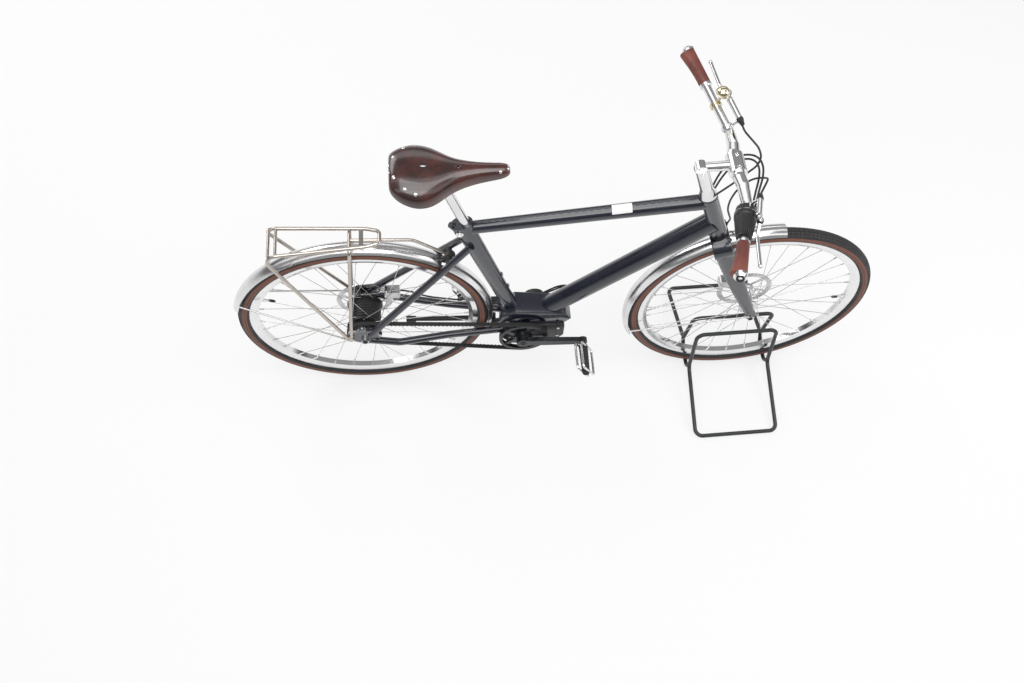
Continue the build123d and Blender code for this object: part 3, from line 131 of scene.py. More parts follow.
def drawn(name, stations, sides=32, angle=35.0):
    """A ring drawn out along +Z through stations of height, half width, half depth and two shifts, in mm."""
    full = [tuple(s) + (s[1], 0.0, 0.0)[len(s) - 2:] for s in stations]
    height, wide, deep, across, over = [v * MM for v in full[0]]
    piece = primitive(name, "circle", vertices=sides, radius=1.0)
    edit(piece)
    bpy.ops.mesh.select_all(action="SELECT")
    bpy.ops.transform.resize(value=(wide, deep, 1.0), center_override=(0, 0, 0))
    bpy.ops.transform.translate(value=(across, over, height))
    for station in full[1:]:
        next_height, next_wide, next_deep, next_across, next_over = [v * MM for v in station]
        bpy.ops.mesh.extrude_region_move()
        bpy.ops.transform.resize(
            value=(next_wide / wide, next_deep / deep, 1.0), center_override=(across, over, height))
        bpy.ops.transform.translate(value=(next_across - across, next_over - over, next_height - height))
        height, wide, deep, across, over = next_height, next_wide, next_deep, next_across, next_over
    return tidy(piece, angle)


POLE = 0.001


def turned(name, profile, sides=48, angle=35.0):
    """A closed round body about +Z from a profile of height and radius, in mm."""
    closed = [(profile[0][0], POLE)] + list(profile) + [(profile[-1][0], POLE)]
    return drawn(name, closed, sides, angle)


def ringed(name, profile, sides=96, angle=35.0):
    """A ring about +Z whose profile of height and radius, in mm, closes on itself."""
    return drawn(name, list(profile) + [profile[0]], sides, angle)


def aligned(origin, axis, across=AHEAD):
    """Matrix that carries +Z to an axis and +X towards a direction across it."""
    z = axis.normalized()
    x = across - z * across.dot(z)
    if x.length < 1e-6:
        x = UP - z * UP.dot(z)
    x.normalize()
    y = z.cross(x)
    turn = Matrix((x, y, z)).transposed().to_4x4()
    return Matrix.Translation(origin) @ turn


def settle(piece, matrix):
    """Moves a piece and leaves its object at the origin, unturned and unscaled."""
    take(piece)
    piece.matrix_world = matrix @ piece.matrix_world
    bpy.context.view_layer.update()
    bpy.ops.object.transform_apply(location=True, rotation=True, scale=True)
    return piece


def copied(piece, name, matrix=None):
    twin = piece.copy()
    twin.data = piece.data.copy()
    twin.name = twin.data.name = name
    bpy.context.scene.collection.objects.link(twin)
    return settle(twin, matrix) if matrix else twin


def joined(name, pieces):
    take(pieces[0])
    for piece in pieces:
        piece.select_set(True)
    bpy.ops.object.join()
    piece = bpy.context.object
    piece.name = piece.data.name = name
    return piece


def modified(piece, kind, **settings):
    take(piece)
    bpy.ops.object.modifier_add(type=kind)
    modifier = piece.modifiers[-1]
    for key, value in settings.items():
        setattr(modifier, key, value)
    bpy.ops.object.modifier_apply(modifier=modifier.name)
    return piece


def mirrored(piece, name):
    """The same piece on the other side of the middle plane."""
    twin = settle(copied(piece, name), Matrix.Scale(-1, 4, LEFT))
    edit(twin)
    bpy.ops.mesh.select_all(action="SELECT")
    bpy.ops.mesh.normals_make_consistent(inside=False)
    take(twin)
    return twin


def slab(name, wide, deep, tall, matrix=None, bevel=0.0, angle=35.0):
    """A block with rounded edges, in mm, about its own middle."""
    piece = primitive(name, "cube", size=1.0)
    edit(piece)
    bpy.ops.transform.resize(value=(wide * MM, deep * MM, tall * MM))
    if bevel:
        bpy.ops.mesh.bevel(offset=bevel * MM, segments=3)
    tidy(piece, angle)
    return settle(piece, matrix) if matrix else piece


def wire(name, points, radius, radii=None, order=4, cyclic=False, resolution=8, sides=4):
    """A smooth round wire or tube through control points, as a closed mesh."""
    deselect()
    bpy.ops.curve.primitive_nurbs_path_add()
    path = bpy.context.object
    curve = path.data
    curve.splines.clear()
    spline = curve.splines.new("NURBS")
    spline.points.add(len(points) - 1)
    for index, point in enumerate(points):
        spline.points[index].co = (*point, 1.0)
        spline.points[index].radius = radii[index] if radii else 1.0
    spline.use_endpoint_u = not cyclic
    spline.use_cyclic_u = cyclic
    spline.order_u = order
    spline.resolution_u = resolution
    curve.bevel_depth = radius
    curve.bevel_resolution = sides
    curve.use_fill_caps = not cyclic
    bpy.ops.object.convert(target="MESH")
    piece = bpy.context.object
    piece.name = piece.data.name = name
    return tidy(piece, 50.0, 1e-5)


# ---------------------------------------------------------------- node groups


def add(tree, kind, values=None, **settings):
    """A node with its settings, and its inputs set or linked by name or number."""
    node = tree.nodes.new("ShaderNode" + kind)
    for key, value in settings.items():
        setattr(node, key, value)
    for key, value in (values or {}).items():
        if isinstance(value, bpy.types.NodeSocket):
            tree.links.new(value, node.inputs[key])
        else:
            node.inputs[key].default_value = value
    return node


def maths(tree, operation, first, second=0.0, clamp=False):
    return add(tree, "Math", {0: first, 1: second}, operation=operation, use_clamp=clamp).outputs[0]


def spread(tree, value, low, high, start=0.0, end=1.0):
    """A value mapped from one range to another, smoothly and without overshoot."""
    node = add(tree, "MapRange", {
        "Value": value, "From Min": low, "From Max": high, "To Min": start, "To Max": end,
    }, interpolation_type="SMOOTHSTEP")
    return node.outputs["Result"]


def blend_colours(tree, share, first, second):
    node = add(tree, "Mix", data_type="RGBA")
    for key, value in ((0, share), (6, first), (7, second)):
        if isinstance(value, bpy.types.NodeSocket):
            tree.links.new(value, node.inputs[key])
        else:
            node.inputs[key].default_value = value if key == 0 else (*value, 1.0)
    return node.outputs[2]


def node_group(name, inputs, outputs):
    tree = bpy.data.node_groups.new(name, "ShaderNodeTree")
    for label, kind, value in inputs:
        socket = tree.interface.new_socket(label, in_out="INPUT", socket_type="NodeSocket" + kind)
        socket.default_value = value
    for label in outputs:
        tree.interface.new_socket(label, in_out="OUTPUT", socket_type="NodeSocketFloat")
    source = tree.nodes.new("NodeGroupInput").outputs
    sink = tree.nodes.new("NodeGroupOutput").inputs
    return tree, source, sink


def object_place(tree):
    return add(tree, "TexCoord").outputs["Object"]


def stretched(tree, stretch):
    return add(tree, "VectorMath", {0: object_place(tree), 1: stretch}, operation="MULTIPLY").outputs[0]


def build_scratches():
    """Fine hairline scratches, stretched as the Stretch input says."""
    tree, source, sink = node_group(
        "hairline_scratches", [("Scale", "Float", 400.0), ("Stretch", "Vector", (1.0, 1.0, 1.0))], ["Height", "Mask"])
    place = stretched(tree, source["Stretch"])
    fine = add(tree, "TexNoise", {"Vector": place, "Scale": source["Scale"], "Detail": 3.0, "Roughness": 0.6})
    broad = add(tree, "TexNoise", {"Vector": place, "Scale": maths(tree, "MULTIPLY", source["Scale"], 0.21), "Detail": 2.0})
    height = maths(tree, "ADD", fine.outputs[0], maths(tree, "MULTIPLY", broad.outputs[0], 0.6))
    tree.links.new(height, sink["Height"])
    tree.links.new(spread(tree, fine.outputs[0], 0.56, 0.72), sink["Mask"])
    return tree


def build_blotches():
    """Soft uneven patches, as of handling, polish and dust."""
    tree, source, sink = node_group("soft_patches", [("Scale", "Float", 14.0), ("Edge", "Float", 0.12)], ["Mask"])
    noise = add(tree, "TexNoise", {
        "Vector": object_place(tree), "Scale": source["Scale"], "Detail": 5.0, "Roughness": 0.55, "Distortion": 0.3})
    low, high = maths(tree, "SUBTRACT", 0.5, source["Edge"]), maths(tree, "ADD", 0.5, source["Edge"])
    tree.links.new(spread(tree, noise.outputs[0], low, high), sink["Mask"])
    return tree


def build_worn_edges():
    """Edges rubbed bare, broken up by noise."""
    tree, source, sink = node_group(
        "rubbed_edges", [("Radius", "Float", 0.0012), ("Breakup", "Float", 90.0)], ["Mask"])
    rounded = add(tree, "Bevel", {"Radius": source["Radius"]}, samples=4)
    flat = add(tree, "NewGeometry").outputs["Normal"]
    facing = add(tree, "VectorMath", {0: rounded.outputs[0], 1: flat}, operation="DOT_PRODUCT").outputs["Value"]
    edge = spread(tree, maths(tree, "SUBTRACT", 1.0, facing), 0.012, 0.11)
    noise = add(tree, "TexNoise", {"Vector": object_place(tree), "Scale": source["Breakup"], "Detail": 4.0, "Roughness": 0.7})
    broken = spread(tree, noise.outputs[0], 0.46, 0.66)
    tree.links.new(maths(tree, "MULTIPLY", edge, broken, clamp=True), sink["Mask"])
    return tree


def build_hide():
    """Grain of smooth vegetable-tanned hide: small pebbles, pores and faint creases."""
    tree, source, sink = node_group("hide_grain", [("Scale", "Float", 900.0)], ["Height", "Pores", "Tone"])
    place = object_place(tree)
    warp = add(tree, "TexNoise", {"Vector": place, "Scale": 60.0, "Detail": 2.0})
    warped = add(tree, "VectorMath", {0: place, 1: warp.outputs["Color"], 2: (0.0022, 0.0022, 0.0022)}, operation="MULTIPLY_ADD")
    pebble = add(tree, "TexVoronoi", {"Vector": warped.outputs[0], "Scale": source["Scale"]}, feature="SMOOTH_F1")
    pore = add(tree, "TexVoronoi", {"Vector": warped.outputs[0], "Scale": maths(tree, "MULTIPLY", source["Scale"], 0.43)})
    crease = add(tree, "TexNoise", {"Vector": warped.outputs[0], "Scale": 70.0, "Detail": 6.0, "Roughness": 0.65})
    pores = spread(tree, pore.outputs["Distance"], 0.05, 0.24, 1.0, 0.0)
    height = maths(tree, "ADD", maths(tree, "MULTIPLY", pebble.outputs["Distance"], 0.55), maths(tree, "MULTIPLY", crease.outputs[0], 0.9))
    height = maths(tree, "SUBTRACT", height, maths(tree, "MULTIPLY", pores, 0.35))
    tone = add(tree, "TexNoise", {"Vector": place, "Scale": 17.0, "Detail": 4.0, "Roughness": 0.6})
    for value, label in ((height, "Height"), (pores, "Pores"), (spread(tree, tone.outputs[0], 0.36, 0.66), "Tone")):
        tree.links.new(value, sink[label])
    return tree


def build_round():
    """Distance from an axle and turn about it."""
    tree, source, sink = node_group(
        "about_an_axle", [("Centre", "Vector", (0, 0, 0)), ("Axle", "Vector", (0, 1, 0))], ["Radius", "Side", "Turn"])
    away = add(tree, "VectorMath", {0: object_place(tree), 1: source["Centre"]}, operation="SUBTRACT").outputs[0]
    side = add(tree, "VectorMath", {0: away, 1: source["Axle"]}, operation="DOT_PRODUCT").outputs["Value"]
    along = add(tree, "VectorMath", {0: source["Axle"], 3: side}, operation="SCALE").outputs[0]
    out = add(tree, "VectorMath", {0: away, 1: along}, operation="SUBTRACT").outputs[0]
    radius = add(tree, "VectorMath", {0: out}, operation="LENGTH").outputs["Value"]
    parts = add(tree, "SeparateXYZ", {0: out}).outputs
    turn = maths(tree, "ARCTAN2", parts[2], parts[0])
    for value, label in ((radius, "Radius"), (side, "Side"), (turn, "Turn")):
        tree.links.new(value, sink[label])
    return tree


def build_casting():
    """Fine pitting of cast or moulded skin."""
    tree, source, sink = node_group("cast_skin", [("Scale", "Float", 900.0)], ["Height"])
    place = object_place(tree)
    grain = add(tree, "TexNoise", {"Vector": place, "Scale": source["Scale"], "Detail": 3.0, "Roughness": 0.7})
    pits = add(tree, "TexVoronoi", {"Vector": place, "Scale": maths(tree, "MULTIPLY", source["Scale"], 0.6)})
    height = maths(tree, "ADD", grain.outputs[0], maths(tree, "MULTIPLY", pits.outputs["Distance"], 0.5))
    tree.links.new(height, sink["Height"])
    return tree


SCRATCHES, PATCHES, RUBBED = build_scratches(), build_blotches(), build_worn_edges()
HIDE, ROUND, CAST = build_hide(), build_round(), build_casting()


def use(tree, group, **values):
    node = tree.nodes.new("ShaderNodeGroup")
    node.node_tree = group
    for key, value in values.items():
        if isinstance(value, bpy.types.NodeSocket):
            tree.links.new(value, node.inputs[key])
        else:
            node.inputs[key].default_value = value
    return node.outputs


# ---------------------------------------------------------------- finishes


class Finish:
    """One material while it is being put together."""

    def __init__(self, name, **constants):
        self.material = bpy.data.materials.new(name)
        self.material.use_nodes = True
        self.tree = self.material.node_tree
        self.tree.nodes.clear()
        self.shader = add(self.tree, "BsdfPrincipled", {key.replace("_", " "): value for key, value in constants.items()})
        output = add(self.tree, "OutputMaterial")
        self.tree.links.new(self.shader.outputs[0], output.inputs[0])

    def set(self, socket, value):
        self.tree.links.new(value, self.shader.inputs[socket])

    def bump(self, height, depth, strength=1.0, before=None):
        node = add(self.tree, "Bump", {"Strength": strength, "Distance": depth, "Height": height})
        if before:
            self.tree.links.new(before, node.inputs["Normal"])
        return node.outputs[0]


def painted(name, colour, lighter, bare, rough=0.3, metallic=0.0, coat=1.0, coat_rough=0.06, flake=0.25, wear=0.5):
    """Sprayed paint: faint flake, an uneven gloss, orange peel and rubbed edges."""
    finish = Finish(name, Metallic=metallic, Coat_Weight=coat, Coat_Roughness=coat_rough, IOR=1.5)
    tree = finish.tree
    patches = use(tree, PATCHES, Scale=9.0, Edge=0.2)["Mask"]
    flakes = add(tree, "TexVoronoi", {"Vector": object_place(tree), "Scale": 2600.0})
    sparkle = spread(tree, add(tree, "SeparateColor", {0: flakes.outputs["Color"]}).outputs[0], 0.72, 1.0, 0.0, flake)
    tone = blend_colours(tree, maths(tree, "MULTIPLY", patches, 0.35), colour, lighter)
    tone = blend_colours(tree, sparkle, tone, lighter)
    rubbed = maths(tree, "MULTIPLY", use(tree, RUBBED, Radius=0.0009, Breakup=70.0)["Mask"], wear)
    finish.set("Base Color", blend_colours(tree, rubbed, tone, bare))
    scuffs = use(tree, SCRATCHES, Scale=120.0, Stretch=(1.0, 6.0, 1.6))
    gloss = maths(tree, "ADD", spread(tree, patches, 0.0, 1.0, rough * 0.8, rough * 1.25), maths(tree, "MULTIPLY", scuffs["Mask"], 0.07))
    finish.set("Roughness", gloss)
    peel = add(tree, "TexNoise", {"Vector": object_place(tree), "Scale": 260.0, "Detail": 2.0})
    finish.set("Normal", finish.bump(peel.outputs[0], 0.00006, 0.35))
    return finish.material


def metal(name, colour, dull, rough=(0.1, 0.25), scale=420.0, stretch=(1.0, 1.0, 1.0), depth=0.00003, strength=0.3, wear=0.0,
          metallic=1.0, hazes=10.0):
    """Bare or anodised metal with hairlines and a hazy, handled polish."""
    finish = Finish(name, Metallic=metallic, IOR=1.6)
    tree = finish.tree
    lines = use(tree, SCRATCHES, Scale=scale, Stretch=stretch)
    haze = use(tree, PATCHES, Scale=hazes, Edge=0.22)["Mask"]
    tone = blend_colours(tree, maths(tree, "MULTIPLY", haze, 0.6), colour, dull)
    tone = blend_colours(tree, maths(tree, "MULTIPLY", lines["Mask"], 0.22), tone, dull)
    if wear:
        rubbed = maths(tree, "MULTIPLY", use(tree, RUBBED, Radius=0.0008, Breakup=110.0)["Mask"], wear)
        tone = blend_colours(tree, rubbed, tone, (0.62, 0.62, 0.63))
    finish.set("Base Color", tone)
    gloss = maths(tree, "ADD", spread(tree, haze, 0.0, 1.0, *rough), maths(tree, "MULTIPLY", lines["Mask"], 0.06))
    finish.set("Roughness", gloss)
    finish.set("Normal", finish.bump(lines["Height"], depth, strength))
    return finish.material


def moulded(name, colour, lighter, rough=(0.4, 0.6), scale=700.0, depth=0.00008, strength=0.4, wear=0.25):
    """Rubber, plastic or powder coat with a fine moulded skin."""
    finish = Finish(name, IOR=1.48)
    tree = finish.tree
    patches = use(tree, PATCHES, Scale=22.0, Edge=0.2)["Mask"]
    tone = blend_colours(tree, maths(tree, "MULTIPLY", patches, 0.5), colour, lighter)
    rubbed = maths(tree, "MULTIPLY", use(tree, RUBBED, Radius=0.0009, Breakup=130.0)["Mask"], wear)
    finish.set("Base Color", blend_colours(tree, rubbed, tone, tuple(min(1.0, 3.5 * c + 0.05) for c in lighter)))
    finish.set("Roughness", spread(tree, patches, 0.0, 1.0, *rough))
    finish.set("Normal", finish.bump(use(tree, CAST, Scale=scale)["Height"], depth, strength))
    return finish.material


def hide(name, dark, light, rough, coat, scale, depth, rubs):
    """Tanned leather with grain, pores, darker hollows and paler rubbed rims."""
    finish = Finish(name, Coat_Weight=coat, Coat_Roughness=0.12, IOR=1.5)
    tree = finish.tree
    grain = use(tree, HIDE, Scale=scale)
    tone = blend_colours(tree, grain["Tone"], dark, light)
    tone = blend_colours(tree, maths(tree, "MULTIPLY", grain["Pores"], 0.35), tone, tuple(c * 0.35 for c in dark))
    rubbed = maths(tree, "MULTIPLY", use(tree, RUBBED, Radius=0.002, Breakup=45.0)["Mask"], rubs)
    finish.set("Base Color", blend_colours(tree, rubbed, tone, tuple(min(1.0, c * 2.1 + 0.03) for c in light)))
    patches = use(tree, PATCHES, Scale=30.0, Edge=0.2)["Mask"]
    finish.set("Roughness", spread(tree, patches, 0.0, 1.0, *rough))
    finish.set("Normal", finish.bump(grain["Height"], depth, 0.6))
    return finish.material


def tyre_rubber(name, centre, axle):
    """Black tread and rim line with a brown side wall between them."""
    finish = Finish(name, IOR=1.5)
    tree = finish.tree
    place = use(tree, ROUND, Centre=centre, Axle=axle)
    waver = add(tree, "TexNoise", {"Vector": object_place(tree), "Scale": 160.0, "Detail": 3.0})
    radius = maths(tree, "ADD", place["Radius"], maths(tree, "MULTIPLY", maths(tree, "SUBTRACT", waver.outputs[0], 0.5), 0.0006))
    tread = spread(tree, radius, 0.3372, 0.3379)
    line = spread(tree, radius, 0.3242, 0.3248, 1.0, 0.0)
    mould_line = spread(tree, maths(tree, "ABSOLUTE", maths(tree, "SUBTRACT", radius, 0.3296)), 0.0005, 0.0009, 1.0, 0.0)
    black = maths(tree, "MAXIMUM", maths(tree, "MAXIMUM", tread, line), mould_line)
    patches = use(tree, PATCHES, Scale=26.0, Edge=0.2)["Mask"]
    brown = blend_colours(tree, patches, (0.15, 0.05, 0.03), (0.21, 0.078, 0.047))
    dusty = blend_colours(tree, maths(tree, "MULTIPLY", patches, 0.5), (0.016, 0.016, 0.018), (0.04, 0.039, 0.04))
    finish.set("Base Color", blend_colours(tree, black, brown, dusty))
    finish.set("Roughness", spread(tree, patches, 0.0, 1.0, 0.5, 0.68))
    cords = add(tree, "Math", {0: maths(tree, "MULTIPLY", maths(tree, "ADD", place["Turn"], maths(tree, "MULTIPLY", radius, 9.0)), 900.0)}, operation="SINE")
    skin = use(tree, CAST, Scale=900.0)["Height"]
    height = maths(tree, "ADD", maths(tree, "MULTIPLY", cords.outputs[0], 0.25), skin)
    finish.set("Normal", finish.bump(height, 0.00007, 0.5))
    return finish.material


def spun_metal(name, centre, axle, colour, dull, rough=(0.2, 0.32), rings=2600.0, depth=0.00003, strength=0.35):
    """Metal with circular machining or brushing about an axle."""
    finish = Finish(name, Metallic=1.0, IOR=1.6)
    tree = finish.tree
    place = use(tree, ROUND, Centre=centre, Axle=axle)
    lines = add(tree, "TexNoise", {
        "W": maths(tree, "MULTIPLY", place["Radius"], rings), "Scale": 1.0, "Detail": 3.0, "Roughness": 0.7}, noise_dimensions="1D")
    haze = use(tree, PATCHES, Scale=12.0, Edge=0.22)["Mask"]
    tone = blend_colours(tree, maths(tree, "MULTIPLY", haze, 0.5), colour, dull)
    tone = blend_colours(tree, spread(tree, lines.outputs[0], 0.35, 0.75, 0.0, 0.3), tone, dull)
    finish.set("Base Color", tone)
    finish.set("Roughness", spread(tree, haze, 0.0, 1.0, *rough))
    scuffs = use(tree, SCRATCHES, Scale=300.0, Stretch=(1.0, 3.0, 1.0))
    height = maths(tree, "ADD", lines.outputs[0], maths(tree, "MULTIPLY", scuffs["Height"], 0.3))
    finish.set("Normal", finish.bump(height, depth, strength))
    return finish.material


STEEL_TONE, STEEL_DULL = (0.66, 0.66, 0.67), (0.5, 0.5, 0.51)
NAVY = painted("navy_paint", (0.0035, 0.005, 0.014), (0.012, 0.015, 0.032), (0.16, 0.16, 0.17), rough=0.24, coat_rough=0.035, flake=0.12, wear=0.35)
BLACK_CAST = moulded("black_casting", (0.013, 0.013, 0.014), (0.03, 0.03, 0.032), (0.34, 0.5), 520.0)
GUNMETAL = metal("gunmetal_anodising", (0.07, 0.073, 0.08), (0.045, 0.047, 0.052), (0.24, 0.36), 380.0, wear=0.8, metallic=0.9)
POLISHED = metal("polished_alloy", (0.86, 0.86, 0.87), (0.72, 0.72, 0.73), (0.07, 0.17), 500.0, (1.0, 0.4, 1.0), 0.00002, 0.2)
SATIN = metal("satin_alloy", (0.7, 0.7, 0.71), (0.5, 0.5, 0.51), (0.24, 0.38), 520.0, wear=0.3)
GUARD_REAR = spun_metal("rear_guard_alloy", REAR_AXLE, LEFT, (0.84, 0.84, 0.85), (0.66, 0.66, 0.67), (0.14, 0.26), 500.0, 0.00001, 0.15)
GUARD_FRONT = spun_metal("front_guard_alloy", FRONT_AXLE, FRONT_SPIN, (0.84, 0.84, 0.85), (0.66, 0.66, 0.67), (0.14, 0.26), 500.0, 0.00001, 0.15)
RIM_REAR = spun_metal("rear_rim_alloy", REAR_AXLE, LEFT, (0.88, 0.88, 0.89), (0.76, 0.76, 0.77), (0.12, 0.22), 1400.0)
RIM_FRONT = spun_metal("front_rim_alloy", FRONT_AXLE, FRONT_SPIN, (0.88, 0.88, 0.89), (0.76, 0.76, 0.77), (0.12, 0.22), 1400.0)
DISC_REAR = spun_metal("rear_disc_steel", REAR_AXLE, LEFT, (0.7, 0.7, 0.71), (0.48, 0.48, 0.5), (0.18, 0.3))
DISC_FRONT = spun_metal("front_disc_steel", FRONT_AXLE, FRONT_SPIN, (0.7, 0.7, 0.71), (0.48, 0.48, 0.5), (0.18, 0.3))
WIRE_STEEL = metal("stainless_wire", (0.72, 0.71, 0.7), (0.55, 0.54, 0.53), (0.16, 0.28), 900.0)
RACK_STEEL = metal("rack_tube_steel", (0.6, 0.55, 0.5), (0.44, 0.4, 0.37), (0.2, 0.34), 600.0, (1.0, 1.0, 0.5))
BOLT_STEEL = metal("bolt_steel", (0.72, 0.72, 0.73), (0.5, 0.5, 0.5), (0.14, 0.26), 900.0, wear=0.2)
BLACK_BOLT = metal("blackened_bolt", (0.035, 0.035, 0.037), (0.02, 0.02, 0.021), (0.3, 0.42), 900.0, wear=0.9, metallic=0.8)
TYRE_REAR = tyre_rubber("rear_tyre_rubber", REAR_AXLE, LEFT)
TYRE_FRONT = tyre_rubber("front_tyre_rubber", FRONT_AXLE, FRONT_SPIN)
BELT = moulded("belt_rubber", (0.012, 0.012, 0.012), (0.026, 0.026, 0.027), (0.48, 0.66), 900.0)
HOSE = moulded("hose_skin", (0.012, 0.012, 0.013), (0.028, 0.028, 0.03), (0.26, 0.42), 1200.0, 0.00003, wear=0.0)
PLASTIC = moulded("black_plastic", (0.014, 0.014, 0.015), (0.03, 0.03, 0.032), (0.3, 0.46), 1100.0, 0.00005)
SOFT_BLACK = moulded("soft_rubber", (0.018, 0.018, 0.019), (0.035, 0.035, 0.036), (0.55, 0.75), 1300.0)
BRASS = metal("pale_brass", (0.84, 0.76, 0.56), (0.66, 0.55, 0.36), (0.08, 0.18), 500.0)
YELLOW = painted("yellow_enamel", (0.75, 0.5, 0.02), (0.9, 0.66, 0.08), (0.6, 0.5, 0.3), rough=0.35, flake=0.0)
STAND_BLACK = painted("stand_powder_coat", (0.014, 0.017, 0.018), (0.035, 0.04, 0.042), (0.3, 0.3, 0.3), rough=0.42, coat=0.25, coat_rough=0.3, flake=0.0, wear=0.8)
SADDLE_HIDE = hide("saddle_hide", (0.022, 0.0055, 0.0045), (0.062, 0.014, 0.0105), (0.2, 0.34), 1.0, 1000.0, 0.0001, 0.25)
GRIP_HIDE = hide("grip_hide", (0.12, 0.028, 0.019), (0.19, 0.05, 0.034), (0.42, 0.6), 0.15, 1100.0, 0.0002, 0.4)
THREAD = moulded("waxed_thread", (0.1, 0.035, 0.022), (0.2, 0.08, 0.05), (0.5, 0.7), 2600.0)
# pale white of the shifter's pointer mark, also used for the painted highlight on the top tube
POINTER_WHITE_AND_PAINTED_HIGHLIGHT = moulded("pointer_white_and_painted_highlight", (0.78, 0.78, 0.77), (0.84, 0.84, 0.83), (0.3, 0.42), 1200.0, 0.00002, wear=0.0)
NYLON = moulded("grey_nylon", (0.11, 0.11, 0.115), (0.16, 0.16, 0.165), (0.4, 0.55), 900.0)

NODE_FINISHES = {
    NAVY: "head_tube seat_tube seat_lug top_tube down_tube gearbox_bridge seat_stays chain_stays fork_crown fork_blades dropouts",
    BLACK_CAST: "headset_cups gearbox shift_box stay_bridge kickstand_bracket kickstand_leg",
    SATIN: "rear_axle rear_caliper front_axle front_caliper pedal_right pedal_left",
    BELT: "drive_belt",
    GUARD_REAR: "rear_fender",
    GUARD_FRONT: "front_fender",
    WIRE_STEEL: "rear_fender_stays front_fender_stays saddle_rails front_spokes rear_spokes",
    RACK_STEEL: "rear_rack rack_stay",
    HOSE: "rear_brake_hose shift_cables control_cables",
    POLISHED: "seat_post stem handlebar grip_rings brake_levers front_hub",
    SADDLE_HIDE: "saddle",
    GRIP_HIDE: "grips",
    PLASTIC: "twist_shifter rear_hub",
    BRASS: "bell",
    STAND_BLACK: "stand_hoops stand_cradles",
    TYRE_REAR: "rear_tyre",
    TYRE_FRONT: "front_tyre",
    RIM_REAR: "rear_rim",
    RIM_FRONT: "front_rim",
    DISC_REAR: "rear_rotor",
    DISC_FRONT: "front_rotor",
    GUNMETAL: "crank_arms front_pulley",
    BOLT_STEEL: "rear_pulley",
}


def finish_model():
    for material, names in NODE_FINISHES.items():
        for name in names.split():
            node = frame["nodes"][name]
            node.data.materials.clear()
            node.data.materials.append(material)


def finished(piece, material, body, slot, *nodes):
    """Gives a piece its material and its body, and hides the nodes that it stands for. The slot is not used."""
    piece.data.materials.clear()
    piece.data.materials.append(material)
    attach(piece, body)
    if nodes:
        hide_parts(*nodes)
    return piece


# ---------------------------------------------------------------- studio


def build_studio():
    """Pale floor, white surroundings, soft lamps and the camera."""
    deselect()
    bpy.ops.mesh.primitive_plane_add(size=60.0, location=(0.55, 0.0, -0.0005))
    floor = bpy.context.object
    floor.name = "studio_floor"
    material = bpy.data.materials.new("studio_floor_white")
    material.use_nodes = True
    tree = material.node_tree
    tree.nodes.clear()
    matt = add(tree, "BsdfDiffuse", {"Color": (0.82, 0.82, 0.82, 1.0)})
    glow = add(tree, "Emission", {"Color": (1.0, 1.0, 1.0, 1.0), "Strength": 1.0})
    path = add(tree, "LightPath").outputs
    seen = maths(tree, "MAXIMUM", path["Is Camera Ray"], path["Is Transmission Ray"])
    share = maths(tree, "ADD", maths(tree, "MULTIPLY", seen, 0.72), maths(tree, "MULTIPLY", path["Is Glossy Ray"], 0.35))
    mix = add(tree, "MixShader", {0: share, 1: matt.outputs[0], 2: glow.outputs[0]})
    out = add(tree, "OutputMaterial", {0: mix.outputs[0]})
    floor.data.materials.append(material)

    world = bpy.data.worlds.new("studio")
    bpy.context.scene.world = world
    world.use_nodes = True
    tree = world.node_tree
    tree.nodes.clear()
    path = add(tree, "LightPath").outputs
    around = add(tree, "TexCoord").outputs["Generated"]
    parts = add(tree, "SeparateXYZ", {0: around}).outputs
    # polished surfaces see a grey room with bright strips across its ceiling and a dark gap behind the lamps
    bands = maths(tree, "SINE", maths(tree, "MULTIPLY", parts[1], 9.0))
    strips = spread(tree, bands, 0.35, 0.75, 0.3, 1.25)
    ceiling = spread(tree, parts[2], 0.2, 0.5)
    shine = add(tree, "Mix", {0: ceiling, 2: 0.34, 3: strips}, data_type="FLOAT").outputs[0]
    gap = spread(tree, maths(tree, "ABSOLUTE", maths(tree, "SUBTRACT", parts[2], 0.16)), 0.03, 0.14, 0.25, 1.0)
    shine = maths(tree, "MULTIPLY", shine, gap)
    seen = maths(tree, "MAXIMUM", path["Is Camera Ray"], path["Is Transmission Ray"])
    strength = add(tree, "Mix", {0: path["Is Glossy Ray"], 2: 0.62, 3: shine}, data_type="FLOAT").outputs[0]
    strength = add(tree, "Mix", {0: seen, 2: strength, 3: 1.0}, data_type="FLOAT").outputs[0]
    background = add(tree, "Background", {"Color": (1.0, 1.0, 1.0, 1.0), "Strength": strength})
    add(tree, "OutputWorld", {0: background.outputs[0]})

    for name, place, aim, size, power in (
        ("softbox_over", (0.3, -0.9, 3.6), (0.55, 0.0, 0.3), 2.6, 62.0),
        ("softbox_left", (-1.8, 2.4, 2.4), (0.4, 0.0, 0.5), 1.8, 30.0),
        ("softbox_front", (3.4, -0.6, 2.2), (0.8, 0.0, 0.5), 1.6, 26.0),
    ):
        deselect()
        bpy.ops.object.light_add(type="AREA", location=place)
        lamp = bpy.context.object
        lamp.name = name
        lamp.data.shape = "SQUARE"
        lamp.data.size = size
        lamp.data.energy = power
        lamp.rotation_euler = (Vector(aim) - Vector(place)).to_track_quat("-Z", "Y").to_euler()

    bpy.context.scene.view_settings.view_transform = "Standard"
    heading, drop, roll = radians(7.691), radians(61.777), radians(4.305)
    forward = Vector((sin(heading) * cos(drop), cos(heading) * cos(drop), -sin(drop)))
    level = forward.cross(UP).normalized()
    right = level * cos(roll) + level.cross(forward) * sin(roll)
    over = right.cross(forward)
    deselect()
    bpy.ops.object.camera_add(location=(0.21395, -1.54821, 3.06822))
    camera = bpy.context.object
    camera.name = "studio_camera"
    camera.rotation_euler = Matrix((right, over, -forward)).transposed().to_euler()
    camera.data.sensor_width = 36.0
    camera.data.lens = 1100.0 / 1024.0 * 36.0
    camera.data.clip_end = 200.0
    bpy.context.scene.camera = camera


# ---------------------------------------------------------------- saddle


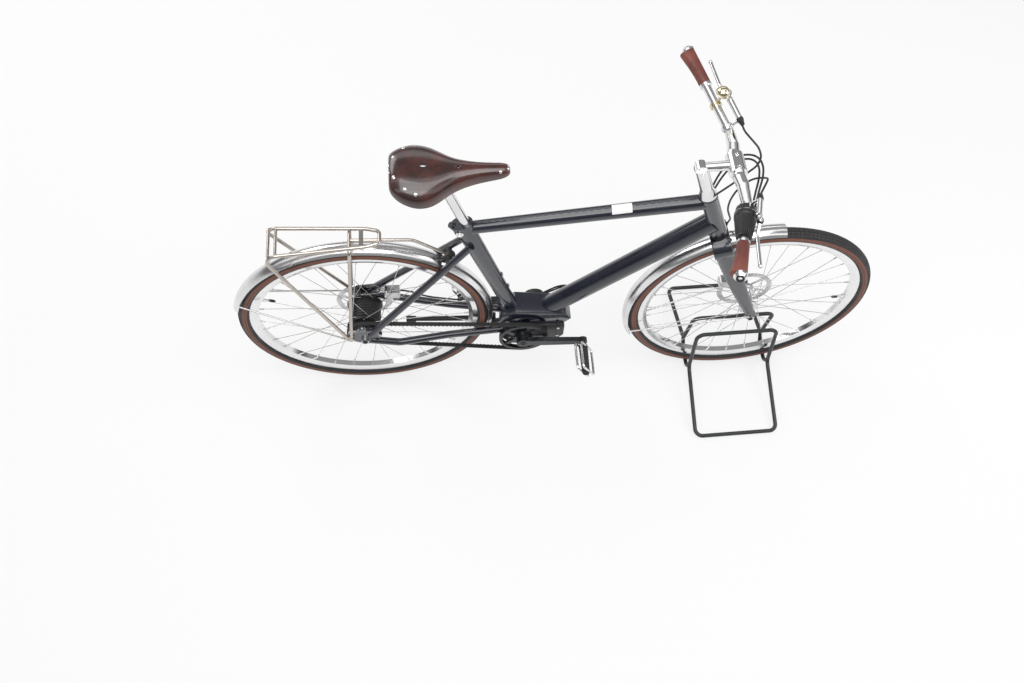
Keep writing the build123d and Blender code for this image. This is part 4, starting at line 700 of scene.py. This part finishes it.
def saddle_rows():
    """Rows across the hide from tail to nose: place along it, half width, top and how far the skirt hangs."""
    return [
        (2.5, 36, 1010, 5), (0.5, 42, 1019, 12), (3, 52, 1027, 22), (12, 64, 1033, 36), (30, 77, 1036, 45),
        (58, 87, 1035.4, 50), (82, 85, 1033, 51), (104, 77, 1030.6, 50), (127, 60, 1028.4, 46), (150, 43.5, 1026.4, 42),
        (176, 33, 1025, 38), (205, 25.5, 1024, 34), (234, 21.5, 1023, 30), (258, 19.4, 1022, 26), (272, 17, 1020.6, 21),
        (280, 13, 1017, 14), (282.5, 8, 1010, 5),
    ]


SADDLE_TAIL = 106.0
SKIRT_SHARPNESS = 0.82


def make_saddle():
    """Arched hide, thick at its cut edge, with three cooling slots."""
    rows, columns = saddle_rows(), 20
    away = 10.0
    hide_sheet = primitive("saddle_hide", "grid", x_subdivisions=len(rows) - 1, y_subdivisions=columns, size=2.0)
    settle(hide_sheet, Matrix.Translation((away, 0, 0)))
    edit(hide_sheet)
    for number in range(columns + 1):
        across = -1.0 + 2.0 * number / columns
        lean = radians(90) * across
        pick(hide_sheet, "VERT", lambda v: abs(v.co.y - across) < 0.01 and v.co.x > away - 2 and abs(v.co.z) < 1e-6)
        arc = (1 if lean > 0 else -1) * abs(sin(lean)) ** SKIRT_SHARPNESS
        fall = max(cos(lean), 0.0) ** SKIRT_SHARPNESS - 1.0
        bpy.ops.transform.translate(value=(0, arc - across + 20.0, fall))
    bpy.ops.mesh.select_all(action="SELECT")
    bpy.ops.transform.translate(value=(0, -20.0, 0))
    for number, (along, half, top, hang) in enumerate(rows):
        row = away - 1.0 + 2.0 * number / (len(rows) - 1)
        pick(hide_sheet, "VERT", lambda v: abs(v.co.x - row) < 0.01)
        bpy.ops.transform.resize(value=(1.0, half * MM, hang * MM), center_override=(row, 0, 0))
        bpy.ops.transform.translate(value=((SADDLE_TAIL + along) * MM - row, 0, top * MM))
    tidy(hide_sheet, 60.0)
    modified(hide_sheet, "SUBSURF", levels=2, render_levels=2)
    modified(hide_sheet, "SOLIDIFY", thickness=0.0042, offset=-1.0)
    tidy(hide_sheet, 50.0)
    for along in (187.0, 226.0, 268.0):
        slot = drawn("slot_cutter", [(990, 0.01), (990, 3.4, 7.6), (1060, 3.4, 7.6), (1060, 0.01)], 24)
        settle(slot, Matrix.Translation((along * MM, 0, 0)) @ Matrix.Rotation(radians(90), 4, "Z"))
        modified(hide_sheet, "BOOLEAN", operation="DIFFERENCE", object=slot, solver="EXACT")
        bpy.data.objects.remove(slot, do_unlink=True)
    tidy(hide_sheet, 40.0)
    finished(hide_sheet, SADDLE_HIDE, "frame", "brown_leather", "saddle")
    return hide_sheet


def surface(piece, place):
    """Matrix on a piece's skin nearest to a place in mm, with +Z outwards."""
    found, spot, outward, face = piece.closest_point_on_mesh(Vector(place) * MM)
    return aligned(spot, outward)


def stud(name, radius, rise, sides=20, socket=0.0):
    """Round head, domed or with a driver's socket sunk in it."""
    if socket:
        profile = [(-1.0, radius), (rise * 0.75, radius), (rise, radius * 0.86), (rise, socket), (rise * 0.35, socket)]
    else:
        profile = [(-1.0, radius), (rise * 0.3, radius), (rise * 0.72, radius * 0.78), (rise, radius * 0.3)]
    return turned(name, profile, sides, 30.0)


def make_saddle_rivets(hide_sheet):
    tail = [(119.5, 28.5, 1029.3), (108, 10, 1022), (141.7, 66, 1038), (168.2, 80, 1030), (244.2, 30, 1004)]
    nose = [(384, 4.5, 1017), (365, 13.0, 1016)]
    for index, place in enumerate(tail + nose):
        for side, hand in ((1, "left"), (-1, "right")):
            rivet = stud("saddle_rivet_{}_{}".format(hand, index), 4.4 if index < 5 else 3.4, 1.5)
            settle(rivet, surface(hide_sheet, (place[0], place[1] * side, place[2])))
            finished(rivet, POLISHED, "frame", "polished_aluminium")


# ---------------------------------------------------------------- tyres and rims

TYRE_RADIUS = (REAR_AXLE.z) / MM
TYRE_CENTRE, TYRE_SECTION = TYRE_RADIUS - 20.0, 20.0
TREAD_RISE = 1.5


def make_tyre(name, wheel, material, body, node):
    """Carcass with five rows of raised tread blocks."""
    edges = [-127, -112, -92, -74, -60, -50, -47, -31, -28, -11, -8, 8, 11, 28, 31, 47, 50, 60, 74, 92, 112, 127]
    profile = [
        ((TYRE_SECTION - 0.4) * sin(radians(edge)), TYRE_CENTRE + (TYRE_SECTION - TREAD_RISE) * cos(radians(edge)))
        for edge in edges
    ] + [(10.5, TYRE_CENTRE - 12.4), (-10.5, TYRE_CENTRE - 12.4)]
    tyre = ringed(name, profile, 168, 40.0)
    edit(tyre)
    wide = [abs(sin(radians(edge))) for edge in (8, 11, 28, 31, 47)]
    bands = [(-0.1, wide[0]), (wide[1], wide[2]), (wide[3], wide[4])]

    def on_tread(face):
        middle = face.calc_center_median()
        if hypot(middle.x, middle.y) < (TYRE_CENTRE + 8.0) * MM:
            return False
        reach = abs(middle.z) / ((TYRE_SECTION - 0.4) * MM)
        return any(low < reach < high for low, high in bands)

    pick(tyre, "FACE", on_tread)
    bpy.ops.mesh.inset(thickness=0.0008, use_individual=True)
    bpy.ops.transform.shrink_fatten(value=TREAD_RISE * MM)
    tidy(tyre, 32.0)
    settle(tyre, wheel @ aligned(Vector(), LEFT))
    return finished(tyre, material, body, "tyre_rubber", node)


def make_valve(name, wheel, body, turn):
    """Tyre valve with a black cap, pointing at the axle."""
    away = AHEAD * cos(radians(turn)) + UP * sin(radians(turn))
    rim_bed = (TYRE_RADIUS - 32.5 - 24.5)
    stem = turned(name + "_stem", [(-4, 3.4), (0.5, 3.4), (1.5, 2.6), (22, 2.6)], 20)
    cap = turned(name + "_cap", [(20, 3.6), (21, 3.9), (33, 3.9), (35, 3.2), (38, 1.2)], 20)
    for piece, material, slot in ((stem, POLISHED, "polished_aluminium"), (cap, PLASTIC, "shifter_plastic")):
        settle(piece, wheel @ aligned(away * rim_bed * MM, -away, LEFT))
        finished(piece, material, body, slot)


# ---------------------------------------------------------------- brake discs


def make_rotor(name, wheel, centre, body, material, node):
    """Braking ring pierced with holes, slanting arms and the carrier."""
    band = drawn(name, [(0, 65.4), (0, 68.2), (0, 71.6), (0, 75.4), (0, 79.9)], 72)
    edit(band)

    def pierced(face):
        middle = face.calc_center_median()
        step = int((atan2(middle.y, middle.x) + pi) / (2 * pi) * 72)
        row = hypot(middle.x, middle.y) / MM
        return (68.2 < row < 71.6 and step % 3 == 0) or (71.6 < row < 75.4 and step % 3 == 1)

    pick(band, "FACE", pierced)
    bpy.ops.mesh.inset(thickness=0.0007, use_individual=True)
    bpy.ops.mesh.delete(type="FACE")
    tidy(band, 40.0)
    modified(band, "SUBSURF", levels=1, render_levels=1)
    modified(band, "SOLIDIFY", thickness=0.002, offset=0.0)
    carrier = ringed("carrier", [(-1.4, 20.2), (-1.4, 27), (1.4, 27), (1.4, 20.2)], 48)
    parts = [band, carrier]
    for number in range(6):
        arm = slab("arm", 46, 6.0, 1.9, Matrix.Translation((46 * MM, 0, 0)), 0.6)
        settle(arm, Matrix.Rotation(radians(60 * number), 4, "Z") @ Matrix.Translation((22 * MM, 0, 0))
               @ Matrix.Rotation(radians(24), 4, "Z") @ Matrix.Translation((-22 * MM, 0, 0)))
        parts.append(arm)
    rotor = joined(name, parts)
    tidy(rotor, 35.0)
    settle(rotor, wheel @ Matrix.Translation(LEFT * centre * MM) @ aligned(Vector(), LEFT))
    finished(rotor, material, body, "disc_steel", node)
    for number in range(6):
        bolt = stud("{}_bolt_{}".format(name, number), 3.4, 2.6, 16, 1.6)
        turn = radians(60 * number + 20)
        spot = (AHEAD * cos(turn) + UP * sin(turn)) * 23.6 * MM + LEFT * (centre + 1.2) * MM
        settle(bolt, wheel @ aligned(spot, LEFT))
        finished(bolt, BOLT_STEEL, body, "stainless_wire")


def make_hub_ribs():
    """Cooling ribs round the rear hub's drum."""
    ribs = []
    for number in range(8):
        rib = ringed("rib", [(-1.3, 42.4), (-0.8, 45.0), (0.8, 45.0), (1.3, 42.4)], 64)
        ribs.append(settle(rib, Matrix.Translation((0, 0, (-28 + number * 8) * MM))))
    drum = settle(joined("rear_hub_ribs", ribs), REAR_WHEEL @ aligned(Vector(), LEFT))
    finished(drum, BLACK_CAST, "rear_wheel", "shifter_plastic")


# ---------------------------------------------------------------- belt and pulleys

BELT_LINE = -53.0 * MM
BELT_PITCH = 11.0 * MM
BELT_TEETH = 116
FRONT_PITCH_RADIUS = 40 * BELT_PITCH / (2 * pi)
REAR_PITCH_RADIUS = 28 * BELT_PITCH / (2 * pi)


def belt_place(distance):
    """Point on the belt's pitch line and the outward direction there, by distance from the lower front tangent."""
    run = CRANK_AXIS - REAR_AXLE
    run = Vector((run.x, 0, run.z))
    gap, rise = run.length, atan2(run.z, run.x)
    lean = acos((FRONT_PITCH_RADIUS - REAR_PITCH_RADIUS) / gap)
    straight = sqrt(gap ** 2 - (FRONT_PITCH_RADIUS - REAR_PITCH_RADIUS) ** 2)
    front_arc = FRONT_PITCH_RADIUS * 2 * (pi - lean)
    rear_arc = REAR_PITCH_RADIUS * 2 * lean
    loop = 2 * straight + front_arc + rear_arc
    distance = distance % loop

    def outward(turn):
        return AHEAD * cos(turn) + UP * sin(turn)

    if distance < front_arc:
        turn = rise - (pi - lean) + distance / FRONT_PITCH_RADIUS
        return CRANK_AXIS + outward(turn) * FRONT_PITCH_RADIUS, outward(turn), loop
    distance -= front_arc
    upper = outward(rise + (pi - lean))
    if distance < straight:
        share = distance / straight
        start, end = CRANK_AXIS + upper * FRONT_PITCH_RADIUS, REAR_AXLE + upper * REAR_PITCH_RADIUS
        return start.lerp(end, share), upper, loop
    distance -= straight
    if distance < rear_arc:
        turn = rise + (pi - lean) + distance / REAR_PITCH_RADIUS
        return REAR_AXLE + outward(turn) * REAR_PITCH_RADIUS, outward(turn), loop
    share = (distance - rear_arc) / straight
    lower = outward(rise - (pi - lean))
    return (REAR_AXLE + lower * REAR_PITCH_RADIUS).lerp(CRANK_AXIS + lower * FRONT_PITCH_RADIUS, share), lower, loop


def make_belt_teeth():
    """Half-round teeth along the inside of the belt."""
    loop = belt_place(0.0)[2]
    teeth = []
    for number in range(BELT_TEETH):
        spot, outward, loop = belt_place(loop * number / BELT_TEETH)
        spot = Vector((spot.x, BELT_LINE, spot.z))
        tooth = slab("tooth", 4.4, 10.8, 5.0, bevel=1.2)
        settle(tooth, aligned(spot - outward * 2.7 * MM, outward, LEFT.cross(outward)))
        teeth.append(tooth)
    belt = joined("belt_teeth", teeth)
    finished(belt, BELT, "frame", "belt_rubber")


# ---------------------------------------------------------------- pedals


def make_pedal(name, body, hand, node):
    """Black body with grooves, two wire loops and the axle's end nut."""
    joint = Vector(JOINTS[hand + "_pedal_spin"]["pos_m"])
    side = 1 if hand == "left" else -1
    place = Matrix.Translation(joint) @ Matrix.Scale(side, 4, LEFT) @ Matrix.Rotation(radians(58), 4, LEFT)
    grooves = [(10, 6), (10, 12.6)]
    for ridge in range(8):
        start = 14 + ridge * 10
        grooves += [(start, 12.8 - ridge * 0.22), (start + 6, 12.8 - ridge * 0.22), (start + 7, 11.6 - ridge * 0.22),
                    (start + 9, 11.6 - ridge * 0.22)]
    barrel = turned(name + "_barrel", grooves + [(96, 10.8), (100, 8.8), (100, 4.5), (97.5, 4.5)], 32)
    settle(barrel, aligned(Vector(), LEFT))
    axle = turned(name + "_axle", [(0, 6), (11, 6)], 24)
    settle(axle, aligned(Vector(), LEFT))
    loops = []
    for height in (-9, 9):
        points = [(-33, 24), (-33, 54), (-33, 84), (-31, 92), (-23, 94), (0, 94), (23, 94), (31, 92), (33, 84), (33, 54),
                  (33, 24), (31, 16), (23, 14), (0, 14), (-23, 14), (-31, 16)]
        loop = wire("loop", [Vector((x, y, height)) * MM for x, y in points], 3.5 * MM, order=3, cyclic=True)
        loops.append(loop)
    cage = joined(name + "_cage", loops)
    for piece, material, slot in ((barrel, SOFT_BLACK, "shifter_plastic"), (axle, SATIN, "satin_aluminium"),
                                  (cage, POLISHED, "satin_aluminium")):
        settle(piece, place)
        tidy(piece, 40.0)
        finished(piece, material, body, slot, node)


# ---------------------------------------------------------------- bar, grips and controls

BAR_MIDDLE = on_fork(662, 80.4)
BAR_SHOULDER = BAR_MIDDLE + Vector((6, 104, -8)) * MM
BAR_SWEEP = Vector((-0.31, 1.0, 0.2))
BAR_STRETCH = BAR_SWEEP.length


def bar_point(reach):
    """Point on the left half of the bar by its distance from the middle plane, in mm."""
    return BAR_SHOULDER + BAR_SWEEP * (reach - 104) * MM


def steered(piece, material, slot, side=1, nodes=()):
    """Puts a piece drawn on the left half where the bar stands at rest, on either side."""
    if side < 0:
        settle(piece, Matrix.Scale(-1, 4, LEFT))
    settle(piece, STEER_TURN)
    tidy(piece, 38.0)
    return finished(piece, material, "steering", slot, *nodes)


def make_grip(hand, side):
    """Sewn leather grip that widens into a palm rest, with a raised seam and its end cap."""
    length = 90 * BAR_STRETCH
    rows = []
    for share, deep, tall, back in (
        (0, 14.0, 14.0, 0), (0.015, 14.8, 14.8, 0), (0.2, 15.0, 14.7, -0.2), (0.4, 15.5, 14.8, -0.7), (0.6, 16.8, 14.9, -1.9),
        (0.8, 18.4, 15.0, -3.5), (0.95, 19.9, 15.0, -4.8), (0.985, 19.6, 14.7, -4.8), (1.0, 18.6, 13.8, -4.6),
    ):
        rows.append((length * share, deep, tall, back, 0.0))
    rows += [(length, 11.2, 11.2, 0, 0), (0, 11.2, 11.2, 0, 0), rows[0]]
    grip = drawn("grip_{}".format(hand), rows, 40, 40.0)
    settle(grip, aligned(bar_point(236), BAR_SWEEP))
    steered(grip, GRIP_HIDE, "grip_leather", side, ("grips",))
    stitches = []
    for number in range(16):
        share = (number + 0.7) / 16.4
        back = -14.9 - 9.4 * max(0.0, share - 0.15) ** 1.25
        stitch = slab("stitch", 1.0, 3.6, 3.4, bevel=0.45)
        spot = Vector((back * MM, 0, length * share * MM))
        settle(stitch, Matrix.Translation(spot) @ Matrix.Rotation(radians(28), 4, "X"))
        stitches.append(stitch)
    seam = joined("grip_stitches_{}".format(hand), stitches)
    settle(seam, aligned(bar_point(236), BAR_SWEEP))
    steered(seam, THREAD, "grip_leather", side)
    cap = turned("grip_cap_plug_{}".format(hand), [(8, 9.6), (12.4, 9.6), (12.4, 5.2), (9.5, 5.2)], 28)
    settle(cap, aligned(bar_point(326), BAR_SWEEP))
    steered(cap, SOFT_BLACK, "shifter_plastic", side)


def make_shifter_trim():
    """Rubber ribs, bright ring and pointer of the rotary shifter."""
    ribs = []
    for number in range(26):
        rib = slab("rib", 2.4, 2.6, 52, Matrix.Translation((20.6 * MM, 0, 70 * MM)) @ Matrix.Rotation(radians(-6.6), 4, "Y"), 0.9)
        settle(rib, Matrix.Rotation(2 * pi * number / 26, 4, "Z"))
        ribs.append(rib)
    sleeve = joined("shifter_ribs", ribs)
    band = ringed("shifter_ring", [(24.6, 25.0), (24.6, 27.2), (26.4, 27.4), (26.4, 25.0)], 64)
    for piece, material, slot in ((sleeve, SOFT_BLACK, "shifter_plastic"), (band, POLISHED, "polished_aluminium")):
        settle(piece, aligned(bar_point(124), BAR_SWEEP))
        steered(piece, material, slot, -1)
    pointer = slab("shifter_pointer", 2.0, 5.5, 9, Matrix.Translation((5 * MM, -25.8 * MM, 13 * MM)), 0.6)
    settle(pointer, aligned(bar_point(124), BAR_SWEEP))
    steered(pointer, POINTER_WHITE_AND_PAINTED_HIGHLIGHT, "shifter_plastic", -1)


def make_lever_trim(hand, side):
    """Pivot screw, clamp bolt, adjuster and rubber boot of a brake lever."""
    offset = Vector((26, 0, 28)) * MM
    pivot = bar_point(188) + offset + Vector((4, 0, 0)) * MM
    ball = drawn("lever_knuckle_{}".format(hand), [
        (-8.2, 0.01), (-8.0, 3.0), (-6.4, 6.2), (-3.4, 7.6), (0, 8.0), (3.4, 7.6), (6.4, 6.2), (8.0, 3.0), (8.2, 0.01)], 32)
    settle(ball, Matrix.Translation(pivot))
    screw = stud("lever_screw_{}".format(hand), 3.6, 2.0, 20, 1.7)
    settle(screw, Matrix.Translation(pivot + UP * 8.6 * MM))
    boot = turned("lever_boot_{}".format(hand), [(-13, 3.6), (-11, 5.6), (-9, 4.8), (-7, 6.4), (-5, 5.4), (-3, 7.4), (2, 8.4),
                                                  (7, 8.4)], 28)
    settle(boot, aligned(bar_point(114) + offset, BAR_SWEEP))
    cap = turned("lever_barrel_cap_{}".format(hand), [(0, 8.4), (3, 8.6), (5, 7.8), (6, 4.0), (5, 4.0)], 28)
    settle(cap, aligned(bar_point(168) + offset, BAR_SWEEP))
    bolt = stud("lever_clamp_bolt_{}".format(hand), 3.4, 2.4, 20, 1.7)
    settle(bolt, aligned(bar_point(116.5) + Vector((4, 0, 15)) * MM, Vector((0.2, 0, 1))))
    for piece, material, slot in ((ball, PLASTIC, "shifter_plastic"), (screw, POLISHED, "polished_aluminium"),
                                  (boot, SOFT_BLACK, "cable_black"), (cap, POLISHED, "polished_aluminium"),
                                  (bolt, BOLT_STEEL, "stainless_wire")):
        steered(piece, material, slot, side)


def make_bell_cap():
    """Enamelled spot and thumb striker of the bell."""
    base, up = bar_point(178), Vector((0.2, 0, 0.98)).normalized()
    spot = turned("bell_spot", [(-0.6, 6.2), (0.5, 6.0), (1.1, 4.2), (1.5, 1.2)], 28)
    settle(spot, aligned(base + up * (44.5 + 15.8) * MM, up))
    steered(spot, YELLOW, "bell_brass")
    rim = ringed("bell_rim", [(-1.0, 15.6), (-1.0, 18.2), (0.8, 18.4), (1.0, 16.8)], 48)
    settle(rim, aligned(base + up * 44.5 * MM, up))
    steered(rim, POLISHED, "polished_aluminium")
    striker = slab("bell_striker", 9, 4.5, 2.4, Matrix.Translation((20 * MM, 0, 2 * MM)), 1.1)
    settle(striker, aligned(base + up * 38 * MM, up, Vector((0.6, 0.8, 0))))
    steered(striker, PLASTIC, "shifter_plastic")


# ---------------------------------------------------------------- castings with rounded edges


def softened(name, node, width, material, body, slot):
    """The same casting with its hard edges rounded over."""
    piece = copied(frame["nodes"][node], name)
    for kind in list(piece.keys()):
        del piece[kind]
    piece.hide_render = False
    edit(piece)
    bpy.ops.mesh.remove_doubles(threshold=4e-5)
    bpy.ops.mesh.dissolve_limited(angle_limit=radians(2.0))
    take(piece)
    modified(piece, "BEVEL", width=width * MM, segments=3, limit_method="ANGLE", angle_limit=radians(32),
             use_clamp_overlap=True, harden_normals=False)
    tidy(piece, 30.0)
    finished(piece, material, body, slot, node)


# ---------------------------------------------------------------- small fastenings and a painted highlight


def make_bolts():
    """Bolts and screws, each set on the skin of the part that it fastens."""
    sets = [
        ("stem", "steering", POLISHED, "polished_aluminium", 4.4, 2.4, 2.2, [
            (925, -18, 1016), (925, 18, 1016), (848, -40, 985)]),
        ("crown", "steering", BLACK_BOLT, "black_cast", 4.6, 2.6, 2.2, [(985, -34, 735), (985, 34, 735)]),
        ("front_caliper", "steering", BOLT_STEEL, "stainless_wire", 4.2, 3.0, 2.2, [(1030, 80, 430), (1030, 80, 395)]),
        ("front_axle", "steering", BLACK_BOLT, "satin_aluminium", 6.4, 2.2, 3.2, [(1096, -80, 350), (1096, 80, 350)]),
        ("rear_axle", "frame", BLACK_BOLT, "satin_aluminium", 7.6, 2.6, 3.4, [(0, -100, 350), (0, 100, 350)]),
        ("dropout", "frame", BLACK_BOLT, "black_cast", 4.2, 2.6, 2.2, [
            (24, -100, 372), (34, -100, 350), (24, 100, 372), (34, 100, 350)]),
        ("rear_caliper", "frame", BOLT_STEEL, "stainless_wire", 4.0, 2.8, 2.2, [(40, 100, 420), (60, 100, 395)]),
        ("gearbox", "frame", BOLT_STEEL, "stainless_wire", 4.4, 2.8, 2.2, [
            (408, -70, 262), (430, -70, 236), (470, -70, 226), (515, -70, 236), (548, -70, 262), (548, -70, 305),
            (408, -70, 306)]),
        ("gearbox_left", "frame", BOLT_STEEL, "stainless_wire", 4.4, 2.8, 2.2, [
            (408, 70, 262), (430, 70, 236), (515, 70, 236), (548, 70, 262), (548, 70, 305), (408, 70, 306)]),
        ("bridge", "frame", BLACK_BOLT, "black_cast", 5.0, 3.0, 2.6, [
            (412, -60, 332), (545, -60, 332), (412, 60, 332), (545, 60, 332)]),
        ("crank", "crank", BLACK_BOLT, "gunmetal", 8.0, 2.0, 4.4, [(446, -100, 285), (446, 100, 285)]),
        ("seat_clamp", "frame", POLISHED, "polished_aluminium", 5.2, 3.2, 2.6, [(268.9, -30, 775.1)]),
        ("rack", "frame", BOLT_STEEL, "stainless_wire", 4.0, 2.6, 2.0, [(-36, -40, 371), (-36, 40, 371)]),
        ("kickstand", "frame", BOLT_STEEL, "stainless_wire", 5.0, 3.2, 2.6, [(362, 60, 250)]),
    ]
    nodes_near = {
        "stem": "stem", "crown": "fork_crown", "front_caliper": "front_caliper", "front_axle": "front_axle",
        "rear_axle": "rear_axle", "dropout": "dropouts", "rear_caliper": "rear_caliper", "gearbox": "gearbox",
        "gearbox_left": "gearbox", "bridge": "gearbox_bridge", "crank": "crank_arms", "seat_clamp": "seat_lug",
        "rack": "rear_rack", "kickstand": "kickstand_bracket",
    }
    for label, body, material, slot, radius, rise, socket, places in sets:
        for number, place in enumerate(places):
            bolt = stud("{}_bolt_{}".format(label, number), radius, rise, 24, socket)
            settle(bolt, surface(frame["nodes"][nodes_near[label]], place))
            finished(bolt, material, body, slot)


def make_washer():
    """Bright washer under the seat clamp's bolt."""
    washer = turned("seat_clamp_washer", [(-1, 9.6), (0.9, 9.6), (1.5, 8.8)], 36)
    settle(washer, surface(frame["nodes"]["seat_lug"], (268.9, -30, 775.1)))
    finished(washer, POLISHED, "frame", "polished_aluminium")


def make_top_tube_painted_highlight():
    """Painted highlight: a pale patch laid round the top of the top tube, where light shines on the paint."""
    label = primitive("top_tube_painted_highlight", "grid", x_subdivisions=12, y_subdivisions=12, size=1.0)
    edit(label)
    bpy.ops.mesh.select_all(action="SELECT")
    bpy.ops.transform.resize(value=(50 * MM, 24 * MM, 1.0))
    tidy(label)
    settle(label, aligned(Vector((671, -4, 860)) * MM, Vector((0, -0.12, 1))))
    modified(label, "SHRINKWRAP", target=frame["nodes"]["top_tube"], wrap_method="PROJECT", use_project_z=True,
             use_negative_direction=True, use_positive_direction=True, offset=0.0003)
    modified(label, "SOLIDIFY", thickness=0.0003, offset=1.0)
    tidy(label, 40.0)
    finished(label, POINTER_WHITE_AND_PAINTED_HIGHLIGHT, "frame", "frame_paint")


finish_model()
build_studio()
saddle_sheet = make_saddle()
make_saddle_rivets(saddle_sheet)
make_tyre("rear_tyre_cover", REAR_WHEEL, TYRE_REAR, "rear_wheel", "rear_tyre")
make_tyre("front_tyre_cover", FRONT_WHEEL, TYRE_FRONT, "front_wheel", "front_tyre")
make_valve("rear_valve", REAR_WHEEL, "rear_wheel", 157)
make_valve("front_valve", FRONT_WHEEL, "front_wheel", -3.5)
make_rotor("rear_brake_disc", REAR_WHEEL, 54, "rear_wheel", DISC_REAR, "rear_rotor")
make_rotor("front_brake_disc", FRONT_WHEEL, 38, "front_wheel", DISC_FRONT, "front_rotor")
make_hub_ribs()
make_belt_teeth()
make_pedal("pedal_right_loop", "right_pedal", "right", "pedal_right")
make_pedal("pedal_left_loop", "left_pedal", "left", "pedal_left")
for hand, side in (("left", 1), ("right", -1)):
    make_grip(hand, side)
    make_lever_trim(hand, side)
make_shifter_trim()
make_bell_cap()
make_bolts()
make_washer()
# pale patch on the top tube that paints in the highlight
make_top_tube_painted_highlight()
softened("crown_casting", "fork_crown", 5.0, NAVY, "steering", "frame_paint")
softened("gearbox_shell", "gearbox", 3.0, BLACK_CAST, "frame", "black_cast")
softened("bridge_shell", "gearbox_bridge", 5.0, NAVY, "frame", "frame_paint")
softened("shift_box_shell", "shift_box", 2.0, BLACK_CAST, "frame", "black_cast")
bpy.context.view_layer.update()
